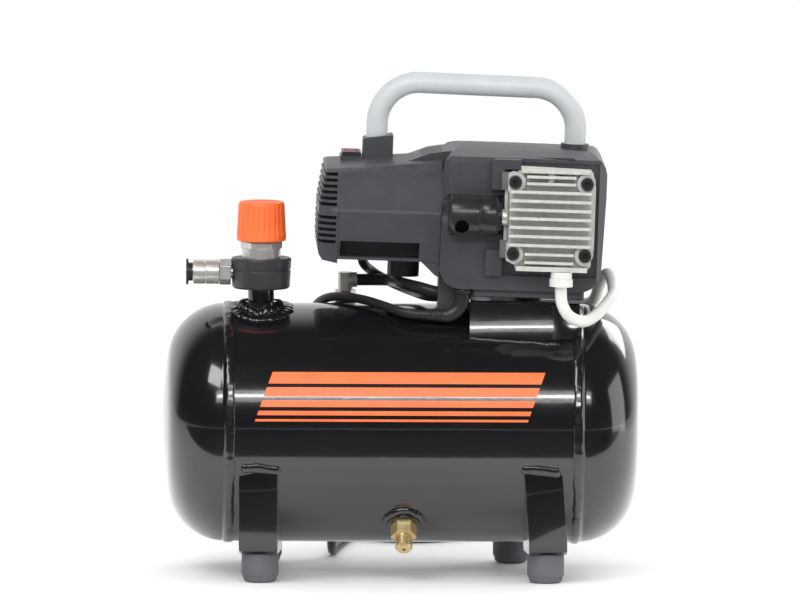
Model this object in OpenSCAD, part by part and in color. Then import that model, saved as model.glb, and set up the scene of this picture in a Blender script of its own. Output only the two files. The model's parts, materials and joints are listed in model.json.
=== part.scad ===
// Small oil-free air compressor: a horizontal six-litre receiver on four feet, with the
// motor and pump unit bolted to a saddle on top and the air outlet at the left.
// X runs along the tank, Y to the rear, Z up. The origin is on the floor under the middle.

/* [Receiver] */
// Outside diameter of the tank
tank_d = 162; // [160:0.5:164]
// Length of the tank over its dished ends
tank_len = 326; // [322:1:332]
// Thickness of the tank's steel
tank_wall = 2; // [1.5:0.25:2.5]
// Height of the tank's axis above the floor
tank_z = 102; // [102:0.5:103]

/* [Feet] */
// Diameter of a rubber foot
foot_d = 25; // [23:0.5:26]
// Height of a rubber foot
foot_h = 20; // [19:0.5:20]
// Width of a pressed bracket
bracket_w = 26; // [25:0.5:28]
// Thickness of the brackets' sheet
bracket_wall = 2; // [1.5:0.25:2.5]

/* [Pump unit] */
// How far the unit leans to the right, in degrees
lean = 1.6; // [1.4:0.1:1.8]
// Height of the crankshaft's axis
shaft_z = 248.6; // [248.4:0.1:248.8]
// Wall thickness of the plastic covers
cover_wall = 2.5; // [2:0.25:3]
// Diameter of the motor shaft
shaft_d = 10; // [9:0.5:10]
// Throw of the crank
crank_throw = 8; // [7:0.5:8]
// Bore of the cylinder
cylinder_bore = 42; // [40:1:44]
// Diameter of the handle's tube
handle_d = 14.5; // [13:0.5:15]

/* [Air outlet] */
// Diameter of the regulator's body
regulator_d = 41; // [39:0.5:42]
// Diameter of the knob at its foot
knob_d = 33.5; // [32:0.5:34]
// Number of grooves round the knob
knob_grooves = 24; // [18:1:28]
// Diameter of the coupler's socket
outlet_bore = 10; // [9:0.5:10.5]

/* [Lines] */
// Diameter of the mains lead
lead_d = 6.2; // [5.8:0.1:6.2]
// Diameter of the switch hose
hose_d = 8; // [7:0.5:8]
// Diameter of the motor cable
cable_d = 6.6; // [6:0.2:6.8]
// Diameter of the delivery tube
delivery_d = 8; // [7:0.5:8]

/* [Hidden] */
$fn = 40;

// Clearance of a running fit, all round
running = 0.05;

// Receiver
tank_r = tank_d / 2;
seam_x = 117.5;             // where the shell meets the dished ends
end_knuckle = tank_r / 2;   // radius of the tight curve of an end
end_crown = 270;            // radius of the flat curve of an end

// Feet: places of the brackets, with the small toe and lean that the welding left
front_left = [-96.5, -60, -6, 0];
front_right = [96.5, -60, 5, 4];
back_left = [-92, 60, 4, 0];
back_right = [77, 60, -3, 0];
FEET = [front_left, front_right, back_left, back_right];
foot_hole_d = 6.6;
foot_screw_d = 6;

// Tank sockets: X, angle from the top towards the rear, outside diameter, height
outlet_x = -96;
outlet_y = -15;
drain_x = 0.5;
drain_angle = -140;
valve_x = 106;
valve_angle = 38;
safety_angle = 34;
hose_x = -38;
hose_y = 22;

// Pump unit
lean_pivot = [80, 0, 187];
saddle_x = [44.7, 119];
saddle_half = 46;
saddle_wall = 2;
motor_x = [-46, 23];
cap_x = -60;
unit_z = [214, 247.4, 286];     // underside, parting line and highest top of the motor cover
roof_z = 279.8;                 // ridge of the motor cover at its left end
roof_rise = 4.1;                // how the ridge rises to the right, in degrees
roof_fall = 5.7;                // how the roof falls to the front and rear, in degrees
pad_z = 281;                    // top of the flat pad under the switch
cover_x = [23, 134.2];
cover_z = [197, 292.4];
cover_y = 55;
slot_pitch = 4.08;
slot_tops = [271.7, 242.4];     // highest slot of the upper and the lower group
slot_counts = [6, 5];
base_z = 192.6;                 // underside of the crankcase
cylinder_x = 95.6;
screw_half = 24.3;
head_y = [-80, -66.5];
fin_pitch = 6;
rocker_z = 280.8;               // height of the rocker's pivot
handle_x = [-20.6, 113.8];
handle_z = 331.6;
handle_bend = 28;
handle_fall = 0.7;              // how much further than the unit the handle leans, in degrees
handle_fit = 0.2;               // how much wider than the tube its sockets are
stator_x = [-38, 2];
rotor_d = 31;
fan_r = 21;

// Air outlet
regulator_z = [194.8, 215.6];
port_z = 205.7;
knob_z = 227.1;
gauge_y = [8, 24];
gauge_d = 26;

// Routes of the lines, from end to end
HOSE_ROUTE = [[-29.9, 22, 197], [-20.6, 20.4, 197.2], [-12.2, 15.7, 197.6], [-6.2, 8.5, 197.9],
    [-3, -2, 198], [-0.8, -10.2, 198], [3.9, -18.4, 197.5], [11.1, -24.6, 196.4], [17.6, -27.6, 194.8],
    [24.6, -28, 193.2]];
CABLE_ROUTE = [[-27, 12, 216], [-27, 13, 212], [-25.4, 18, 208], [-22, 26, 204], [-16, 31, 199.5],
    [-8, 31, 195], [1, 25, 191.4], [8, 13, 189.8], [12.2, 0, 189.4], [15.6, -10, 189.4],
    [19.8, -16.2, 189.4], [24.6, -17.4, 189.4]];
DELIVERY_ROUTE = [[105, -75, 205.6], [104.9, -75, 200], [105.8, -74.5, 190.8], [110.5, -72, 182.4],
    [119.2, -66, 177.9], [127.2, -56, 179.5], [134.5, -42, 184.7], [141.5, -24, 191.3],
    [142.7, -12, 194.2], [142.2, 0, 199.6], [139.8, 14, 202.5], [137, 24, 198.5], [134.4, 33, 191.2],
    [132.8, 42, 184.2], [129.6, 50.5, 179.2], [122.5, 57.4, 177.4], [116.6, 58.65, 177.2],
    [113.2, 58.7, 177.2]];
LEAD_ROUTE = [[15.6, -44, 179.8], [7.8, -43, 180.1], [0.6, -40, 180.9], [-5.6, -35.2, 182.2],
    [-15, -25.2, 184.6], [-27, -11.4, 186.8], [-39, 3, 187.3], [-49, 17, 185.4], [-56, 33, 180.2],
    [-60, 50, 170.8], [-60, 66, 155.8], [-58, 78, 137.5], [-56, 84.8, 117], [-54, 86.2, 95],
    [-51, 81, 72], [-49, 74, 48], [-46.5, 70, 30], [-45.5, 73.5, 15.5], [-44.8, 84, 6.5],
    [-43.6, 99, 3.4], [-41.5, 118, 3.1], [-37.5, 145, 3.1], [-33, 172, 3.1], [-29.6, 194, 3.1]];
TAIL_ROUTE = [[22, 253.5, 9.3], [38, 252, 10.5], [54, 250, 14], [68, 249.2, 17.4], [80, 249, 18.5]];

// Coil of the lead: middle, radius at the middle of its turns, turns across and up
coil_at = [12, 214];
coil_r = 34.2;
coil_across = 3;
coil_up = 2;

black_paint = "#0c0c0e";
black_plastic = "#2b2c30";
dark_rubber = "#26262a";
orange_plastic = "#f06a2a";
brass_metal = "#c9a552";
nickel_metal = "#c8c6bf";
cast_metal = "#c9c7be";
grey_paint = "#b9bfc2";
steel_metal = "#9a9ca0";
ivory_plastic = "#e6e6de";

// ---- Shared shapes ----

module rod_x(from, to, d) translate([from, 0, 0]) rotate([0, 90, 0]) cylinder(h = to - from, d = d);
module rod_y(from, to, d) translate([0, from, 0]) rotate([-90, 0, 0]) cylinder(h = to - from, d = d);
module rod_z(from, to, d) translate([0, 0, from]) cylinder(h = to - from, d = d);
module hex_z(from, to, across) translate([0, 0, from]) cylinder(h = to - from, d = across / cos(30), $fn = 6);
module slab(x, y, z) translate([x[0], y[0], z[0]]) cube([x[1] - x[0], y[1] - y[0], z[1] - z[0]]);

// A plate with the outline given in X and Z, from one Y to another
module front_plate(outline, y) translate([0, y[1], 0]) rotate([90, 0, 0])
    linear_extrude(y[1] - y[0]) polygon(outline);

// A prism with the outline given in Y and Z, from one X to another
module side_prism(outline, x) translate([x[0], 0, 0]) rotate([90, 0, 90])
    linear_extrude(x[1] - x[0]) polygon(outline);

// Places the pump unit's pieces, which lean together
module leaning() translate(lean_pivot) rotate([0, lean, 0]) translate(-lean_pivot) children();

// Places pieces on the crankshaft's axis
module on_shaft() leaning() translate([0, 0, shaft_z]) children();

// Places a piece on the tank's surface, upright on it
module on_tank(x, angle) translate([x, 0, tank_z]) rotate([-angle, 0, 0]) translate([0, 0, tank_r])
    children();

// The solid that the tank fills
module tank_core() translate([0, 0, tank_z]) rotate([0, 90, 0])
    cylinder(h = 2 * tank_len, d = tank_d, center = true, $fn = 180);

// Points of an arc about a centre
function arc(centre, r, from, to, steps) =
    [for (i = [0:steps]) let (a = from + (to - from) * i / steps) centre + r * [cos(a), sin(a)]];

// Smooth line through hand-placed points: Catmull-Rom, with the same number of steps in each span
function spline_point(p, i, t) =
    let (a = p[max(i - 1, 0)], b = p[i], c = p[i + 1], d = p[min(i + 2, len(p) - 1)])
    0.5 * (2 * b + (c - a) * t + (2 * a - 5 * b + 4 * c - d) * t * t
        + (3 * b - a - 3 * c + d) * t * t * t);
function smooth_line(p, steps) =
    concat([for (i = [0:len(p) - 2], k = [0:steps - 1]) spline_point(p, i, k / steps)], [p[len(p) - 1]]);
function unit(v) = v / norm(v);
function line_direction(p, i) = unit(p[min(i + 1, len(p) - 1)] - p[max(i - 1, 0)]);
// A side direction that is carried along the line without twisting
function carried_side(p, i) =
    let (t = line_direction(p, i), s = i == 0 ? unit(cross(t, [0.3, 0.5, 0.81])) : carried_side(p, i - 1))
    unit(s - (s * t) * t);
function ring_points(p, i, r, sides) =
    let (t = line_direction(p, i), u = carried_side(p, i), v = cross(t, u))
    [for (k = [0:sides - 1]) p[i] + r * (cos(360 * k / sides) * u + sin(360 * k / sides) * v)];

// Round line swept along a route
module swept_line(route, d, steps, sides) {
    line = smooth_line(route, steps);
    rings = len(line);
    points = [for (i = [0:rings - 1]) each ring_points(line, i, d / 2, sides)];
    skin = [for (i = [0:rings - 2], k = [0:sides - 1])
        [i * sides + k, i * sides + (k + 1) % sides, (i + 1) * sides + (k + 1) % sides, (i + 1) * sides + k]];
    first = [for (k = [sides - 1:-1:0]) k];
    last = [for (k = [0:sides - 1]) (rings - 1) * sides + k];
    polyhedron(points, concat(skin, [first, last]), convexity = 8);
}

// ---- Receiver ----

// Half outline of a dished end, as depth along X and radius, for a skin that lies in by some wall
function dish_outline(inset) =
    let (reach = end_crown - sqrt(pow(end_crown - end_knuckle, 2) - pow(tank_r - end_knuckle, 2)),
        skirt = tank_len / 2 - seam_x - reach,
        turn = asin((tank_r - end_knuckle) / (end_crown - end_knuckle)),
        knuckle = arc([tank_r - end_knuckle, skirt], end_knuckle - inset, 0, 90 - turn, 8),
        crown = arc([0, tank_len / 2 - seam_x - end_crown], end_crown - inset, 90 - turn, 90, 6))
    concat([[tank_r - inset, 0]], knuckle, [for (i = [1:6]) crown[i]]);

module dished_end() translate([seam_x, 0, tank_z]) rotate([0, 90, 0]) rotate_extrude()
    polygon(concat(dish_outline(0), [for (i = [len(dish_outline(0)) - 1:-1:0]) dish_outline(tank_wall)[i]]));

module tank_ports() {
    translate([outlet_x, outlet_y, 0]) rod_z(tank_z + 40, 200, 8);
    translate([hose_x, hose_y, 0]) rod_z(tank_z + 40, 200, 5);
    on_tank(drain_x, drain_angle) rod_z(-20, 10, 7);
    on_tank(valve_x, valve_angle) rod_z(-20, 10, 8);
    on_tank(outlet_x, safety_angle) rod_z(-20, 10, 7);
}

module tank_shell() color(black_paint) difference() {
    translate([0, 0, tank_z]) rod_x(-seam_x, seam_x, tank_d);
    translate([0, 0, tank_z]) rod_x(-seam_x - 1, seam_x + 1, tank_d - 2 * tank_wall);
    tank_ports();
}

module tank_end_left() color(black_paint) mirror([1, 0, 0]) dished_end();
module tank_end_right() color(black_paint) dished_end();

// Sockets welded on the tank, each coped to its surface and drilled through
module tank_bosses() color(black_paint) difference() {
    union() {
        translate([outlet_x, outlet_y, 0]) rod_z(tank_z + 60, 186, 23);
        translate([hose_x, hose_y, 0]) rod_z(tank_z + 60, 184, 14);
        on_tank(drain_x, drain_angle) rod_z(-10, 3, 22);
        on_tank(valve_x, valve_angle) rod_z(-10, 3, 19);
        on_tank(outlet_x, safety_angle) rod_z(-10, 3, 16);
    }
    tank_core();
    tank_ports();
}

// ---- Feet ----

// Side outline of a front bracket, from the foot up into the tank; the sheet lies in by some wall
function bracket_side(inset) = let (top = tank_z, floor = foot_h + inset)
    [[-44, floor], [-71, floor], [-76 + 0.7 * inset, floor + 2.3], [-78.8 + inset, floor + 8.5],
        [-78.8 + inset, 62], [-76.9 + inset, 76], [-76.9 + inset, top], [-44, top]];

// Front outline of a bracket: a strip that leans to the side as it rises
function bracket_strip(inset, slope) = let (w = bracket_w / 2 - inset)
    [[-w, foot_h - 1], [w, foot_h - 1], [w - slope * 90, foot_h + 89], [-w - slope * 90, foot_h + 89]];

module bracket(place) color(black_paint) {
    slope = tan(place[3]);
    back = place[1] > 0 ? 180 : 0;
    difference() {
        translate([place[0], place[1], 0]) rotate([0, 0, place[2] + back]) translate([0, 60, 0])
        difference() {
            intersection() {
                side_prism(bracket_side(0), [-40, 40]);
                front_plate(bracket_strip(0, slope), [-90, -40]);
            }
            intersection() {
                side_prism(bracket_side(bracket_wall), [-40, 40]);
                front_plate(bracket_strip(bracket_wall, slope), [-90, -40]);
            }
            translate([0, -60, 0]) rod_z(foot_h - 1, foot_h + 5, foot_hole_d);
        }
        tank_core();
    }
}

module foot_bracket_front_left() bracket(front_left);
module foot_bracket_front_right() bracket(front_right);
module foot_bracket_back_left() bracket(back_left);
module foot_bracket_back_right() bracket(back_right);

module rubber_foot() {
    r = foot_d / 2;
    edge = 3.2;
    difference() {
        rotate_extrude() polygon(concat([[0, 0], [r - 1 - edge, 0]],
            arc([r - 1 - edge, edge], edge, -70, 0, 4),
            [[r - 0.6, 4.6], [r, 5], [r, foot_h - 1.5], [r - 0.8, foot_h], [0, foot_h]]));
        rod_z(-1, foot_h + 1, foot_hole_d);
        rod_z(-1, 9, 13);
    }
}

module rubber_feet() color(dark_rubber) for (f = FEET) translate([f[0], f[1], 0]) rubber_foot();

module foot_screws() color(steel_metal) for (f = FEET) translate([f[0], f[1], 0]) {
    rod_z(9 - 4, 9, 11);
    rod_z(8.5, foot_h + bracket_wall + 7, foot_screw_d);
    hex_z(foot_h + bracket_wall, foot_h + bracket_wall + 5, 10);
}

// ---- Saddle ----

// Cross-section of the folded sheet, one half, lying in by some wall
function saddle_half_line(inset) =
    [[0, 189 - inset], [saddle_half - 2.5, 189 - inset], [saddle_half - 0.4 - inset, 187.6 - inset],
        [saddle_half + 1.5 - inset, 174], [59 - inset, 150], [59 - inset, 140]];
function mirrored(line) = concat(line, [for (i = [len(line) - 1:-1:1]) [-line[i][0], line[i][1]]]);

// Places where the pump stands: three corners and one beside the cut-out
MOUNTS = [[52, -38], [113, -38], [52, 38], [86, 38]];

module pump_saddle() color(black_paint) difference() {
    leaning() difference() {
        side_prism(mirrored(saddle_half_line(0)), saddle_x);
        side_prism(mirrored(saddle_half_line(saddle_wall)), [saddle_x[0] - 1, saddle_x[1] + 1]);
        slab([95, 130], [14, 80], [130, 200]);
        for (m = MOUNTS) translate([m[0], m[1], 0]) rod_z(180, 195, 6.4);
    }
    tank_core();
}

module pump_mounts() color(dark_rubber) leaning() for (m = MOUNTS) translate([m[0], m[1], 0]) {
    rod_z(189, base_z, 17);
    rod_z(183.4, 189.5, 6);
    rod_z(192, 198, 4.6);
}

// ---- Drain ----

module drain_body() color(brass_metal) on_tank(drain_x, drain_angle) difference() {
    union() {
        hex_z(3, 12.5, 15.5);
        rod_z(12.5, 15, 12);
        rod_z(-3, 3, 6.8);
    }
    rod_z(-4, 16, 4);
}

module drain_screw() color(brass_metal) on_tank(drain_x, drain_angle) difference() {
    union() {
        rod_z(15.2, 21, 11.7);
        translate([0, 0, 21]) cylinder(h = 1.6, d1 = 11.7, d2 = 9.4);
        rod_z(11, 15.4, 3.9);
    }
    rod_z(15, 24, 2.6);
    for (k = [0:11]) rotate([0, 0, 30 * k]) translate([5.9, 0, 0]) rod_z(15, 22, 0.9);
}

// ---- Valves on the tank ----

module check_valve() color(brass_metal) on_tank(valve_x, valve_angle) difference() {
    union() {
        hex_z(3, 10, 17);
        rod_z(10, 20, 14);
        hex_z(20, 24, 14);
    }
    rod_z(2, 18, 7);
    translate([0, 0, 14.4]) rotate([valve_angle, 0, 0]) rod_x(0, 12, delivery_d + 0.1);
}

module safety_valve() color(brass_metal) on_tank(outlet_x, safety_angle) difference() {
    union() {
        hex_z(3, 10, 12);
        rod_z(10, 24, 10);
    }
    rod_z(2, 12, 4);
    rod_z(11, 25, 4.4);
}

module relief_ring() color(steel_metal) on_tank(outlet_x, safety_angle) {
    rod_z(13, 27.4, 4);
    translate([0, 0, 34]) rotate([90, 0, 0]) rotate_extrude() translate([7.5, 0]) circle(d = 1.8);
}

module tank_hose_fitting() color(nickel_metal) translate([hose_x, hose_y, 0]) difference() {
    union() {
        hex_z(184, 190.5, 12);
        rod_z(190.5, 202.2, 10.4);
        translate([0, 0, 197]) rod_x(0, 7.8, 10.4);
    }
    rod_z(183, 199, 4);
    translate([0, 0, 197]) rod_x(0, 9, 4);
}

// ---- Air outlet ----

module on_outlet() translate([outlet_x, outlet_y, 0]) children();
// The coupler's axis runs to the left
module on_coupler() on_outlet() translate([0, 0, port_z]) mirror([1, 0, 0]) children();

module outlet_stem() color(black_paint) on_outlet() difference() {
    rod_z(186, regulator_z[0], 18);
    rod_z(185, 200, 8);
}

module regulator_body() color(black_plastic) on_outlet() difference() {
    r = regulator_d / 2;
    rotate_extrude() polygon([[0, regulator_z[0]], [r - 2.2, regulator_z[0]], [r - 1, regulator_z[0] + 1.2],
        [r - 0.4, 206.8], [r - 0.9, 207.2], [r - 0.9, 208], [r - 0.3, 208.4], [r, 214.4],
        [r - 0.8, regulator_z[1]], [0, regulator_z[1]]]);
    rod_z(180, 199, 8);
    rod_z(211.2, 220, 22);
    rod_z(198, 212, 5);
    translate([0, 0, port_z]) rod_x(-30, -9, 9.1);
    translate([0, 0, port_z]) rod_y(9, 30, 8.1);
    translate([0, 0, port_z]) rod_x(-12, 0, 4);
    translate([0, 0, port_z]) rod_y(0, 12, 4);
}

module bonnet_ring() color(nickel_metal) on_outlet() difference() {
    union() {
        rod_z(regulator_z[1], 222, 26.4);
        hex_z(222, 226.2, 24.4);
        rod_z(211.4, regulator_z[1] + 0.5, 21.8);
    }
    rod_z(209, 227, 14);
}

module regulator_knob() color(orange_plastic) on_outlet() translate([0, 0, knob_z]) difference() {
    union() {
        cylinder(h = 25.9, d1 = knob_d, d2 = knob_d - 3);
        translate([0, 0, 25.9]) cylinder(h = 0.8, d1 = knob_d - 3, d2 = knob_d - 5);
        rod_z(-11, 2, 12);
    }
    rod_z(-12, 0, 6);
    difference() {
        rod_z(-1, 14, knob_d - 8);
        rod_z(-2, 15, 14);
    }
    for (k = [0:knob_grooves - 1]) rotate([0, 0, 360 * k / knob_grooves])
        translate([knob_d / 2 + 0.25, 0, 3]) rotate([0, -3.3, 0]) rod_z(0, 40, 1.5);
}

module on_gauge() on_outlet() translate([0, -outlet_y, port_z]) children();

module gauge_case() color(black_plastic) on_gauge() difference() {
    union() {
        rod_y(gauge_y[0], gauge_y[1], gauge_d);
        rod_y(-5, gauge_y[0], 8);
    }
    rod_y(gauge_y[0] + 2, gauge_y[1] + 1, gauge_d - 4);
    rod_y(-6, gauge_y[0] + 3, 3);
}

module gauge_dial() color("#f2f2ee") on_gauge() difference() {
    rod_y(gauge_y[0] + 8, gauge_y[0] + 9, gauge_d - 4.2);
    rod_y(gauge_y[0] + 7, gauge_y[0] + 10, 2.4);
}

module gauge_needle() color("#c0392b") on_gauge() {
    rod_y(gauge_y[0] + 5, gauge_y[0] + 11, 2);
    rod_y(gauge_y[0] + 10, gauge_y[0] + 11.2, 4);
    rotate([0, 45, 0]) slab([-3.5, 9], [gauge_y[0] + 10, gauge_y[0] + 10.7], [-0.45, 0.45]);
}

module gauge_lens() color("#dfe7ea") on_gauge() rod_y(gauge_y[1] - 2.5, gauge_y[1] - 1, gauge_d - 4.2);

module coupler_body() color(nickel_metal) on_coupler() difference() {
    union() {
        rod_x(9, 22, 9);
        rotate([0, 90, 0]) hex_z(20.6, 28.2, 15.4);
        rod_x(27, 46.4, 12.5);
        rod_x(46.4, 50.5, 11.6);
    }
    rod_x(32.5, 51, outlet_bore);
    rod_x(8, 33, 5);
}

module coupler_sleeve() color(nickel_metal) on_coupler() difference() {
    union() {
        rod_x(28.5, 37.6, 16.6);
        rod_x(37.6, 38.4, 15.8);
        rod_x(38.4, 46.1, 16.6);
    }
    rod_x(28, 47, 12.5 + 2 * running + 0.1);
}

module coupler_end_ring() color(black_plastic) on_coupler() difference() {
    union() {
        rod_x(46.5, 50.8, 12.5);
        rod_x(49.3, 50.8, 17.6);
    }
    rod_x(46, 51, 11.6);
}

// ---- Motor covers ----

// Half cross-section of the motor cover, from the underside up, lying in by some wall
function motor_section(inset, low) =
    [[-46 + inset, low + inset], [-49.2 + inset, low + 12], [-50 + inset, 246.4], [-49.2 + inset, 248.4],
        [-47.6 + inset, 272.4], [-36.5 + 0.6 * inset, 280.6 - 0.7 * inset], [-30, unit_z[2] - inset]];
function both_sides(line) = concat(line, [for (i = [len(line) - 1:-1:0]) [-line[i][0], line[i][1]]]);

// What lies above the two slopes of the roof
module above_roof(inset) for (fall = [-roof_fall, roof_fall]) translate([motor_x[0], 0, roof_z - inset])
    rotate([fall, -roof_rise, 0]) slab([-40, 120], [-80, 80], [0, 40]);

module motor_solid(inset, x) difference() {
    side_prism(both_sides(motor_section(inset, unit_z[0])), x);
    above_roof(inset);
}

// Block that holds the handle's left leg, and the ribbed ramp beside it
module socket_block() front_plate([[-30.4, 277.6], [-10, 277.6], [-10, 295.6], [-11, 296], [-29.4, 293.4],
    [-30.4, 292.4]], [-11, 11]);

module ramp() difference() {
    front_plate([[0, 278], [motor_x[1], 278], [motor_x[1], 287.3], [14.5, 285.9], [3, 281.4], [0, 280.4]],
        [-27, 27]);
    for (y = [-19:9.5:19]) translate([0, y, 0]) front_plate([[9, 282.8], [14.5, 284.9], [24, 286.4],
        [24, 292], [9, 292]], [-1.6, 1.6]);
}

// Fairing that comes down beside the column to its left
module fairing() front_plate([[9.5, 215], [motor_x[1], 215], [motor_x[1], 203.6], [20, 205]], [-45, -37.5]);

// Screws at the back of the motor covers: height and depth of each seat
MOTOR_SCREWS_X = [-38, 14];
MOTOR_SCREWS = [[232, 49], [262, 47.8]];
module motor_screw_seats() for (x = MOTOR_SCREWS_X, place = MOTOR_SCREWS) translate([x, 0, place[0]]) {
    rod_y(place[1] - 0.1, 60, 7.4);
    rod_y(place[1] - 4, place[1], 3.4);
}

module motor_cover_upper() color(black_plastic) leaning() difference() {
    union() {
        difference() {
            motor_solid(0, motor_x);
            motor_solid(cover_wall, [motor_x[0] - 1, motor_x[1] + 1]);
        }
        socket_block();
        ramp();
        slab([-45.4, -30.6], [-14, 14], [277.6, pad_z]);
    }
    slab([-80, 40], [-60, 60], [200, unit_z[1]]);
    handle_socket(handle_x[0], [281, 300]);
    slab([-42.3, -33.7], [-11, 11], [270, 290]);
    motor_screw_seats();
}

module motor_cover_lower() color(black_plastic) leaning() {
    difference() {
        motor_solid(0, motor_x);
        difference() {
            motor_solid(cover_wall, [motor_x[0] - 1, motor_x[1] + 1]);
            slab([-46.5, 11], [-52, -23.5], [200, 229]);
            slab([-46.5, 11], [23.5, 52], [200, 229]);
        }
        slab([-80, 40], [-60, 60], [unit_z[1], 300]);
        slab([-44.5, 9], [-60, -26], [216, 226.8]);
        slab([-44.5, 9], [26, 60], [216, 226.8]);
        translate([-27, 12, 0]) rod_z(200, 220, 8);
        for (k = [0:4]) slab([-20 + 3 * k, -18.5 + 3 * k], [-22, -12], [200, 220]);
        motor_screw_seats();
    }
    fairing();
}

// Left cap: rounded at its upright corners, deeper below, with slots that run round both corners
function cap_top(inset) = concat([[motor_x[0] + (inset > 0 ? 1 : 0), -50 + inset]],
    arc([-47, -36], 14 - inset, 270, 180, 5), arc([-47, 36], 14 - inset, 180, 90, 5),
    [[motor_x[0] + (inset > 0 ? 1 : 0), 50 - inset]]);
function cap_front(inset) = [[motor_x[0] + (inset > 0 ? 1 : 0), 211.2 + inset], [-56.4 + inset, 213.4 + inset],
    [-58.8 + inset, 217], [cap_x + inset, 226], [cap_x + inset, 240], [-59.4 + inset, 252],
    [-56.6 + inset, 269.6], [-55 + inset, 276 - 0.5 * inset], [-53, 290],
    [motor_x[0] + (inset > 0 ? 1 : 0), 290]];
module cap_solid(inset) difference() {
    intersection() {
        linear_extrude(300) polygon(cap_top(inset));
        front_plate(cap_front(inset), [-60, 60]);
        side_prism(both_sides(motor_section(inset, 210)), [-70, -40]);
    }
    above_roof(inset);
}

module motor_end_cap() color(black_plastic) leaning() {
    difference() {
        cap_solid(0);
        cap_solid(cover_wall);
        for (g = [0, 1], k = [0:slot_counts[g] - 1], y = [-60, 5])
            translate([0, 0, slot_tops[g] - slot_pitch * k]) slab([-70, -47.6], [y, y + 55], [-1.1, 1.1]);
    }
    // Air guides beside the fan
    intersection() {
        cap_solid(1);
        for (y = [-32, 30]) slab([-62, -46.6], [y, y + 2], [200, 290]);
    }
}

module switch_bezel() color(black_plastic) leaning() difference() {
    slab([-44.4, -31.6], [-13, 13], [pad_z, 284]);
    slab([-42.3, -33.7], [-11, 11], [280, 290]);
}

module switch_rocker() color("#7a2f2c") leaning() translate([0, 0, rocker_z]) rotate([8, 0, 0]) difference() {
    side_prism([[-9.4, 2.4], [-8.6, -1], [0, -2.2], [8.6, -1], [9.4, 2.4], [0, 1.6]], [-41.8, -34.2]);
    rod_x(-50, -30, 1.6);
}

// ---- Pump cover ----

// Front outline of the pump cover, lying in by some wall; open below when it lies in
function pump_front(i) = let (low = cover_z[0] - (i > 0 ? 1 : 0), right = cover_x[1])
    concat([[37, low]], arc([37, 211], 14 - i, 262, 180, 4), arc([41, 274.4], 18 - i, 180, 98, 5),
        [[75.6, cover_z[1] - i], [76.4, cover_z[1] - 0.6 - i], [110, cover_z[1] - 2.2 - i]],
        arc([right - 14, 276.2], 14 - i, 80, 5, 4), [[right - i, 262], [right - 1.8 - i, 216]],
        arc([right - 16, 211.5], 14 - i, 0, -60, 3), [[right - 14, low]]);
// Side outline: the top slopes to the front and rear, with a bevel below it and another at the foot
function pump_side(i) = let (low = cover_z[0] - (i > 0 ? 1 : 0), half = [[-52 + i, low],
        [-cover_y + i, 205], [-cover_y + i, 283.4 - 0.5 * i], [-51.5 + i, 286.8 - 0.7 * i],
        [-30, 289.9 - i], [-6, cover_z[1] - i]])
    concat(half, [for (k = [5:-1:0]) [-half[k][0], half[k][1]]]);
// Outline seen from above, with the upright corners cut off
function pump_plan(i) = let (half = [[cover_x[0] + i, 49 - 0.5 * i], [28 + 0.5 * i, cover_y - i],
        [cover_x[1] - 5.2 - 0.5 * i, cover_y - i], [cover_x[1] - i, 49 - 0.5 * i]])
    concat(half, [for (k = [3:-1:0]) [half[k][0], -half[k][1]]]);
module pump_solid(i) intersection() {
    front_plate(pump_front(i), [-70, 70]);
    side_prism(pump_side(i), [0, 150]);
    linear_extrude(320) polygon(pump_plan(i));
}

module silencer_place() leaning() translate([0, -62, 248.3]) children();

head_window = [[64.6, 207.4], [128.8, 207.4], [128.8, 284.4], [76, 284.4], [76, 280], [64.6, 280]];

// Hollow column that stands beside the saddle and takes the lines
module leg_post(inset) translate([33, -24, 0]) slab([-10 + inset, 10 - inset], [-12 + inset, 12 - inset],
    [181.4 + inset, 206]);

module pump_cover() color(black_plastic) leaning() difference() {
    union() {
        difference() {
            pump_solid(0);
            difference() {
                pump_solid(cover_wall);
                translate([0, -62, 248.3]) rod_x(20, 64.6, 30 + 2 * cover_wall);
                slab([24, 45], [-60, -10], [196, 199.5]);
            }
            translate([0, -62, 248.3]) rod_x(10, 66, 30);
            slab([cover_x[0] - 1, cover_x[0] + 4], [-45, 45], [219, 279]);
        }
        leg_post(0);
        front_plate([[cover_x[0], 272], [40, 282], [42, 289.6], [36, 289.2], [cover_x[0], 287.3]], [-27, 27]);
        intersection() {
            translate([66, 0, 276]) rotate([-90, 0, 0]) translate([0, 0, -61.5]) linear_extrude(10)
                polygon([[-10, 10], [-10, -8], [-8, -10.4], [10, -10.4], [10, 10]]);
            front_plate([[55, 265], [77, 265], [77, 287], [55, 287]], [-62, -52.8]);
        }
        slab([53.5, 70], [-59.5, -52.8], [207.4, 225]);
        on_handle() translate([handle_x[1], 0, 0]) rod_z(286.7, 294.8, 19);
    }
    front_plate(head_window, [-70, -40]);
    leg_post(cover_wall);
    translate([33, -24, 0]) slab([-7, 7], [-9, 9], [200, 220]);
    translate([39.6, -44, 0]) rod_z(180, 220, 9.6);
    translate([0, -28, 191.9]) rod_x(22, 27, hose_d + 1.4);
    translate([0, -17.4, 187.8]) rod_x(22, 27, cable_d + 1.6);
    handle_socket(handle_x[1], [280, 300]);
    front_plate([[76.5, 300], [76.5, 288.2], [112, 285.4], [112, 300]], [-60, -47]);
    pump_screw_seats();
    translate([0, 0, shaft_z]) for (k = [0:6]) slab([cover_x[1] - 6, cover_x[1] + 2], [-30, 30],
        [6 * k - 19, 6 * k - 16.5]);
}

module pump_screw_seats() for (x = [34, 123], z = [209, 276]) translate([x, 0, z]) {
    rod_y(cover_y - 1.8, cover_y + 5, 7.4);
    rod_y(cover_y - 5, cover_y, 3.4);
}

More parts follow.
